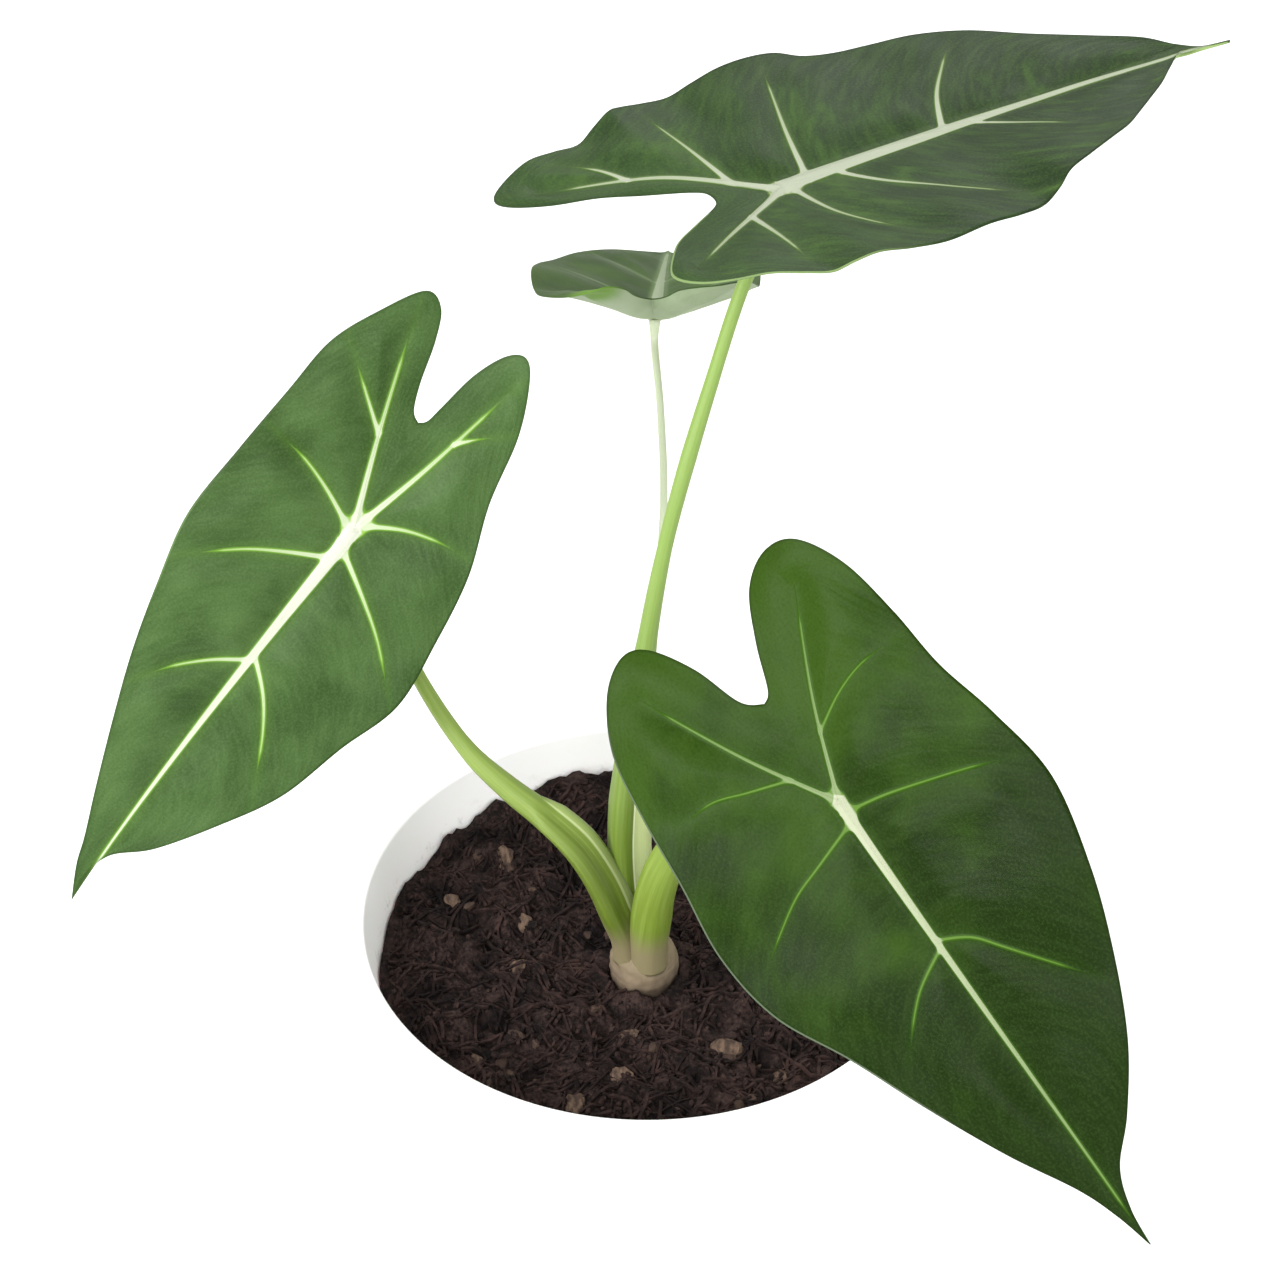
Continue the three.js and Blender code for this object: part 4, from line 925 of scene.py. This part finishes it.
def litter_pieces():
    """Bark chips, crumbs and fibres that lie loose on the soil."""
    rng = np.random.default_rng(SEED)
    draw = rng.uniform
    work = bmesh.new()
    layer = work.verts.layers.float.new("tone")
    for x, y, size in CHIPS:
        turn = Euler((draw(-0.3, 0.3), draw(-0.3, 0.3), draw(0, 6.3)))
        centre = Vector((x, y, rough_soil(x, y) + size * 0.08))
        lump(work, centre, (size, size * draw(0.55, 0.8), size * 0.4), turn, rng, 3, 0.0, layer)
    for _ in range(SMALL_CHIPS):
        x, y = on_soil(rng, LONG_LITTER_R)
        size = draw(1.0, 2.6)
        turn = Euler((draw(-0.5, 0.5), draw(-0.5, 0.5), draw(0, 6.3)))
        centre = Vector((x, y, rough_soil(x, y) + size * 0.1))
        sizes = (size, size * draw(0.4, 0.8), size * 0.45)
        lump(work, centre, sizes, turn, rng, 2, draw(0.55, 1), layer)
    piece = add_piece("bark_chips", finished(work, "bark_chips"), chip_material())

    work = bmesh.new()
    layer = work.verts.layers.float.new("tone")
    for _ in range(CRUMBS):
        x, y = on_soil(rng, LITTER_R)
        size = draw(0.5, 1.5)
        turn = Euler(draw(0, 6.3, 3))
        centre = Vector((x, y, rough_soil(x, y) + size * 0.25))
        lump(work, centre, (size, size * draw(0.5, 1), size * 0.7), turn, rng, 1, 0.0, layer)
    crumb_brown = soil_material("crumb_brown", rgb(20, 15, 15), rgb(68, 52, 48), 0.8)
    piece = add_piece("soil_crumbs", finished(work, "soil_crumbs"), crumb_brown)

    verts, faces = [], []
    for _ in range(FIBRES):
        x, y = on_soil(rng, LONG_LITTER_R)
        swing = noise.noise(Vector((x * 0.05, y * 0.05, 3.0))) * 6
        length, angle = draw(3, 16), swing + rng.normal(0, 0.45)
        bend, thick = draw(-0.03, 0.03), draw(0.18, 0.6)
        start = len(verts)
        for i in range(FIBRE_STEPS + 1):
            t = i / FIBRE_STEPS - 0.5
            a = angle + bend * t * length
            px, py = x + math.cos(a) * t * length, y + math.sin(a) * t * length
            reach = math.hypot(px, py)
            if reach > LITTER_R:
                px, py = px * LITTER_R / reach, py * LITTER_R / reach
            pz = rough_soil(px, py) + thick + draw(0.1, 0.5) + 1.2 * abs(t) * draw(0, 0.6)
            for k in range(4):
                b = math.pi * (k + 0.5) / 2
                side = thick * math.cos(b)
                verts.append((px - math.sin(a) * side, py + math.cos(a) * side, pz + thick * math.sin(b)))
        faces += tube_faces(start, FIBRE_STEPS, 4, -1)
    fibre_brown = soil_material("fibre_brown", rgb(22, 16, 16), rgb(62, 46, 42), 0.5)
    piece = add_piece("soil_fibres", mesh_of("soil_fibres", verts, faces), fibre_brown)


def corm_piece():
    """The stem base, turned and then roughened with shallow leaf scars."""
    profile = [(0, 104), (0.45, 104), (0.85, 107), (1, 112), (0.96, 118), (1, 121.5), (0.95, 124.5),
               (0.86, 126.5), (0.7, 128.4), (0.4, 129.8), (0, 130)]
    profile = [(r * CORM_R, z) for r, z in profile]
    mesh = turned_mesh("corm_stub", rounded(profile, 1.5, 3), CORM_SIDES)
    for vert in mesh.vertices:
        co = vert.co / MM
        around = math.atan2(co.y, co.x)
        lobes = 0.25 * math.sin(3 * around + 0.5) * min(1, max(0, (co.z - 116) / 8))
        scars = 0.1 * math.sin(co.z * 1.9 + 0.8 * math.sin(2 * around))
        rough = 0.35 * noise.noise(co * 0.5) + 0.15 * noise.noise(co * 1.4)
        r = math.hypot(co.x, co.y)
        if r > 5:
            grown = (r + min(0.0, lobes + scars + rough - 0.3)) / r
            vert.co.x *= grown
            vert.co.y *= grown
    mesh.transform(Matrix.Translation((CORM[0] * MM, CORM[1] * MM, 0)))
    soften(mesh)
    piece = add_piece("corm_stub", mesh, corm_material())
    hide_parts("corm")


# Blades: midrib, basal and side scale the widths of veins, a pale pair is a vein's paleness at both ends,
# under is the lower face, rim is the side, the first and last share and the colour of a light margin, the
# sheen slant tilts the tone along the midrib as painted sheen, and lit is where painted light shines through.
USUAL = dict(
    fringe_mm=0.55, streaky=0.3, painted_sheen_slant=0.0, midrib_tip=0.2,
    under=(rgb(90, 116, 74), rgb(110, 136, 92), rgb(140, 164, 102)))
LOOKS = {
    "left": dict(
        USUAL,
        deep=rgb(33, 58, 13), light=rgb(60, 86, 40), pale=rgb(86, 112, 66), fringe=rgb(92, 134, 32),
        thin=rgb(116, 152, 60), cream=rgb(184, 187, 171), mottle=0.16, fine=0.1, streaks=14,
        shine=0.16, gloss=0.36, ripple=0.4, quilt=1.7, pillow=1.3, midrib=0.95, midrib_pale=(1, 0.7),
        basal=0.85, side=0.88, basal_pale=(0.9, 0.1), side_pale=(0.7, 0), edge=0.5,
        rim=(-1, 0.4, 0.5, rgb(84, 110, 60))),
    "right": dict(
        USUAL,
        deep=rgb(17, 34, 1), light=rgb(42, 66, 12), pale=rgb(60, 82, 38), fringe=rgb(46, 78, 10),
        thin=rgb(72, 104, 30), cream=rgb(156, 162, 136), mottle=0.14, fine=0.08, streaks=13, painted_sheen_slant=-0.035,
        shine=0.06, gloss=0.28, ripple=0.22, quilt=1.3, pillow=1.1, midrib=0.78, midrib_pale=(1.1, 0),
        basal=0.6, side=0.52, basal_pale=(0.4, 0), side_pale=(0.05, 0), edge=0.4,
        rim=(-1, 0.25, 0.72, rgb(92, 104, 84))),
    "top": dict(
        USUAL,
        deep=rgb(29, 44, 22), light=rgb(46, 65, 35), pale=rgb(74, 102, 44), fringe=rgb(80, 104, 46),
        thin=rgb(110, 128, 76), cream=rgb(150, 156, 137), fringe_mm=0.5, mottle=0.6, fine=0.14, streaks=28,
        streaky=0.55, painted_sheen_slant=-0.025, shine=0.08, gloss=0.42, ripple=0.3, quilt=1, pillow=0.7,
        midrib=1.35, midrib_tip=0.6, midrib_pale=(1, 0.8), basal=1.2, side=1.22, basal_pale=(1, 0.5),
        side_pale=(1, 0.2), edge=0.3, rim=(-1, 0.62, 0.96, rgb(122, 144, 92))),
    "back": dict(
        USUAL,
        deep=rgb(38, 60, 20), light=rgb(64, 88, 38), pale=rgb(80, 102, 56), fringe=rgb(96, 116, 76),
        thin=rgb(84, 106, 62), cream=rgb(146, 158, 130), fringe_mm=1.6, mottle=0.1, fine=0.05, streaks=16,
        shine=0.1, gloss=0.5, ripple=0.2, quilt=0.8, pillow=0.6, midrib=1.3, midrib_tip=0.45,
        midrib_pale=(1, 0.6), basal=0.5, side=0.3, basal_pale=(0.2, 0), side_pale=(0, 0), edge=0,
        lit=(-4, 1.3, 0), rim=(-1, 0.4, 0.5, rgb(84, 104, 60)),
        under=(rgb(124, 140, 106), rgb(144, 158, 128), rgb(158, 170, 138))),
}

STALK_LOOKS = {
    "left": dict(foot=rgb(88, 106, 28), upper=rgb(116, 138, 60), line=rgb(146, 164, 88),
                 cream=0.22, strip=(0.16, 0.38)),
    "right": dict(foot=rgb(104, 124, 38), upper=rgb(126, 150, 64), line=rgb(158, 178, 92),
                  cream=0, strip=(0.1, 0.3)),
    "top": dict(foot=rgb(92, 114, 32), upper=rgb(116, 142, 66), line=rgb(142, 164, 88),
                cream=0.9, strip=(-0.1, 0.34)),
    "back": dict(foot=rgb(150, 164, 104), upper=rgb(180, 188, 162), line=rgb(190, 198, 172),
                 cream=0, strip=(0.1, 0.3)),
}

for side, leaf in LEAVES.items():
    look = LOOKS[side]
    veins = vein_lines(leaf, look)
    blade = blade_piece(side + "_leaf", leaf, look, veins, blade_material(side + "_lamina", look, veins))
    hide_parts(side + "_blade", side + "_ribs")
    green = stalk_material(side + "_stem", STALK_LOOKS[side])
    stem = stalk_piece(side + "_petiole", STALKS[side], leaf, green)
    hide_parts(side + "_stalk")

pot_piece()
soil_piece(soil_material("soil_brown", rgb(20, 15, 15), rgb(66, 51, 47)))
litter_pieces()
corm_piece()


# Floor, light and camera
def floor():
    mesh = bpy.data.meshes.new("floor")
    mesh.from_pydata([(-6, -6, 0), (6, -6, 0), (6, 6, 0), (-6, 6, 0)], [], [(0, 1, 2, 3)])
    ground = new_object("floor", mesh)
    s = Shader("pale_floor", Specular_IOR_Level=0.1)
    mottled = s.noise(s.place(), 9.0, 2.0)
    s.colour = s.blend(mottled, rgb(244, 244, 243), rgb(247, 247, 246))
    mesh.materials.append(s.finish(0.8))


def area_light(name, place, size, energy):
    """A round soft light that looks at the middle of the plant."""
    data = bpy.data.lights.new(name, "AREA")
    data.shape, data.size, data.energy = "DISK", size, energy
    light = new_object(name, data)
    light.location = place
    aim = Vector((0, 0, 0.2)) - Vector(place)
    light.rotation_euler = aim.to_track_quat("-Z", "Y").to_euler()


floor()
area_light("key", (-1.05, -0.7, 1.1), 1.0, 24)
area_light("fill", (1.2, -0.9, 1.0), 1.2, 8)
area_light("front", (-0.1, -1.5, 1.1), 1.4, 18)
area_light("back", (0.4, 1.2, 1.4), 1.0, 12)
world = bpy.data.worlds.new("studio")
world.use_nodes = True
background = world.node_tree.nodes["Background"]
background.inputs["Color"].default_value = (1, 1, 1, 1)
background.inputs["Strength"].default_value = 0.85
scene.world = world
scene.view_settings.view_transform = "Standard"

camera_data = bpy.data.cameras.new("camera")
camera_data.sensor_width = SENSOR_MM
camera_data.lens = SENSOR_MM * FOCAL_PX / PICTURE_PX
camera_data.clip_start, camera_data.clip_end = 0.01, 30
camera = new_object("camera", camera_data)
camera.location = CAMERA_PLACE
camera.rotation_euler = (math.radians(90 - PITCH_DEG), 0, 0)
scene.camera = camera
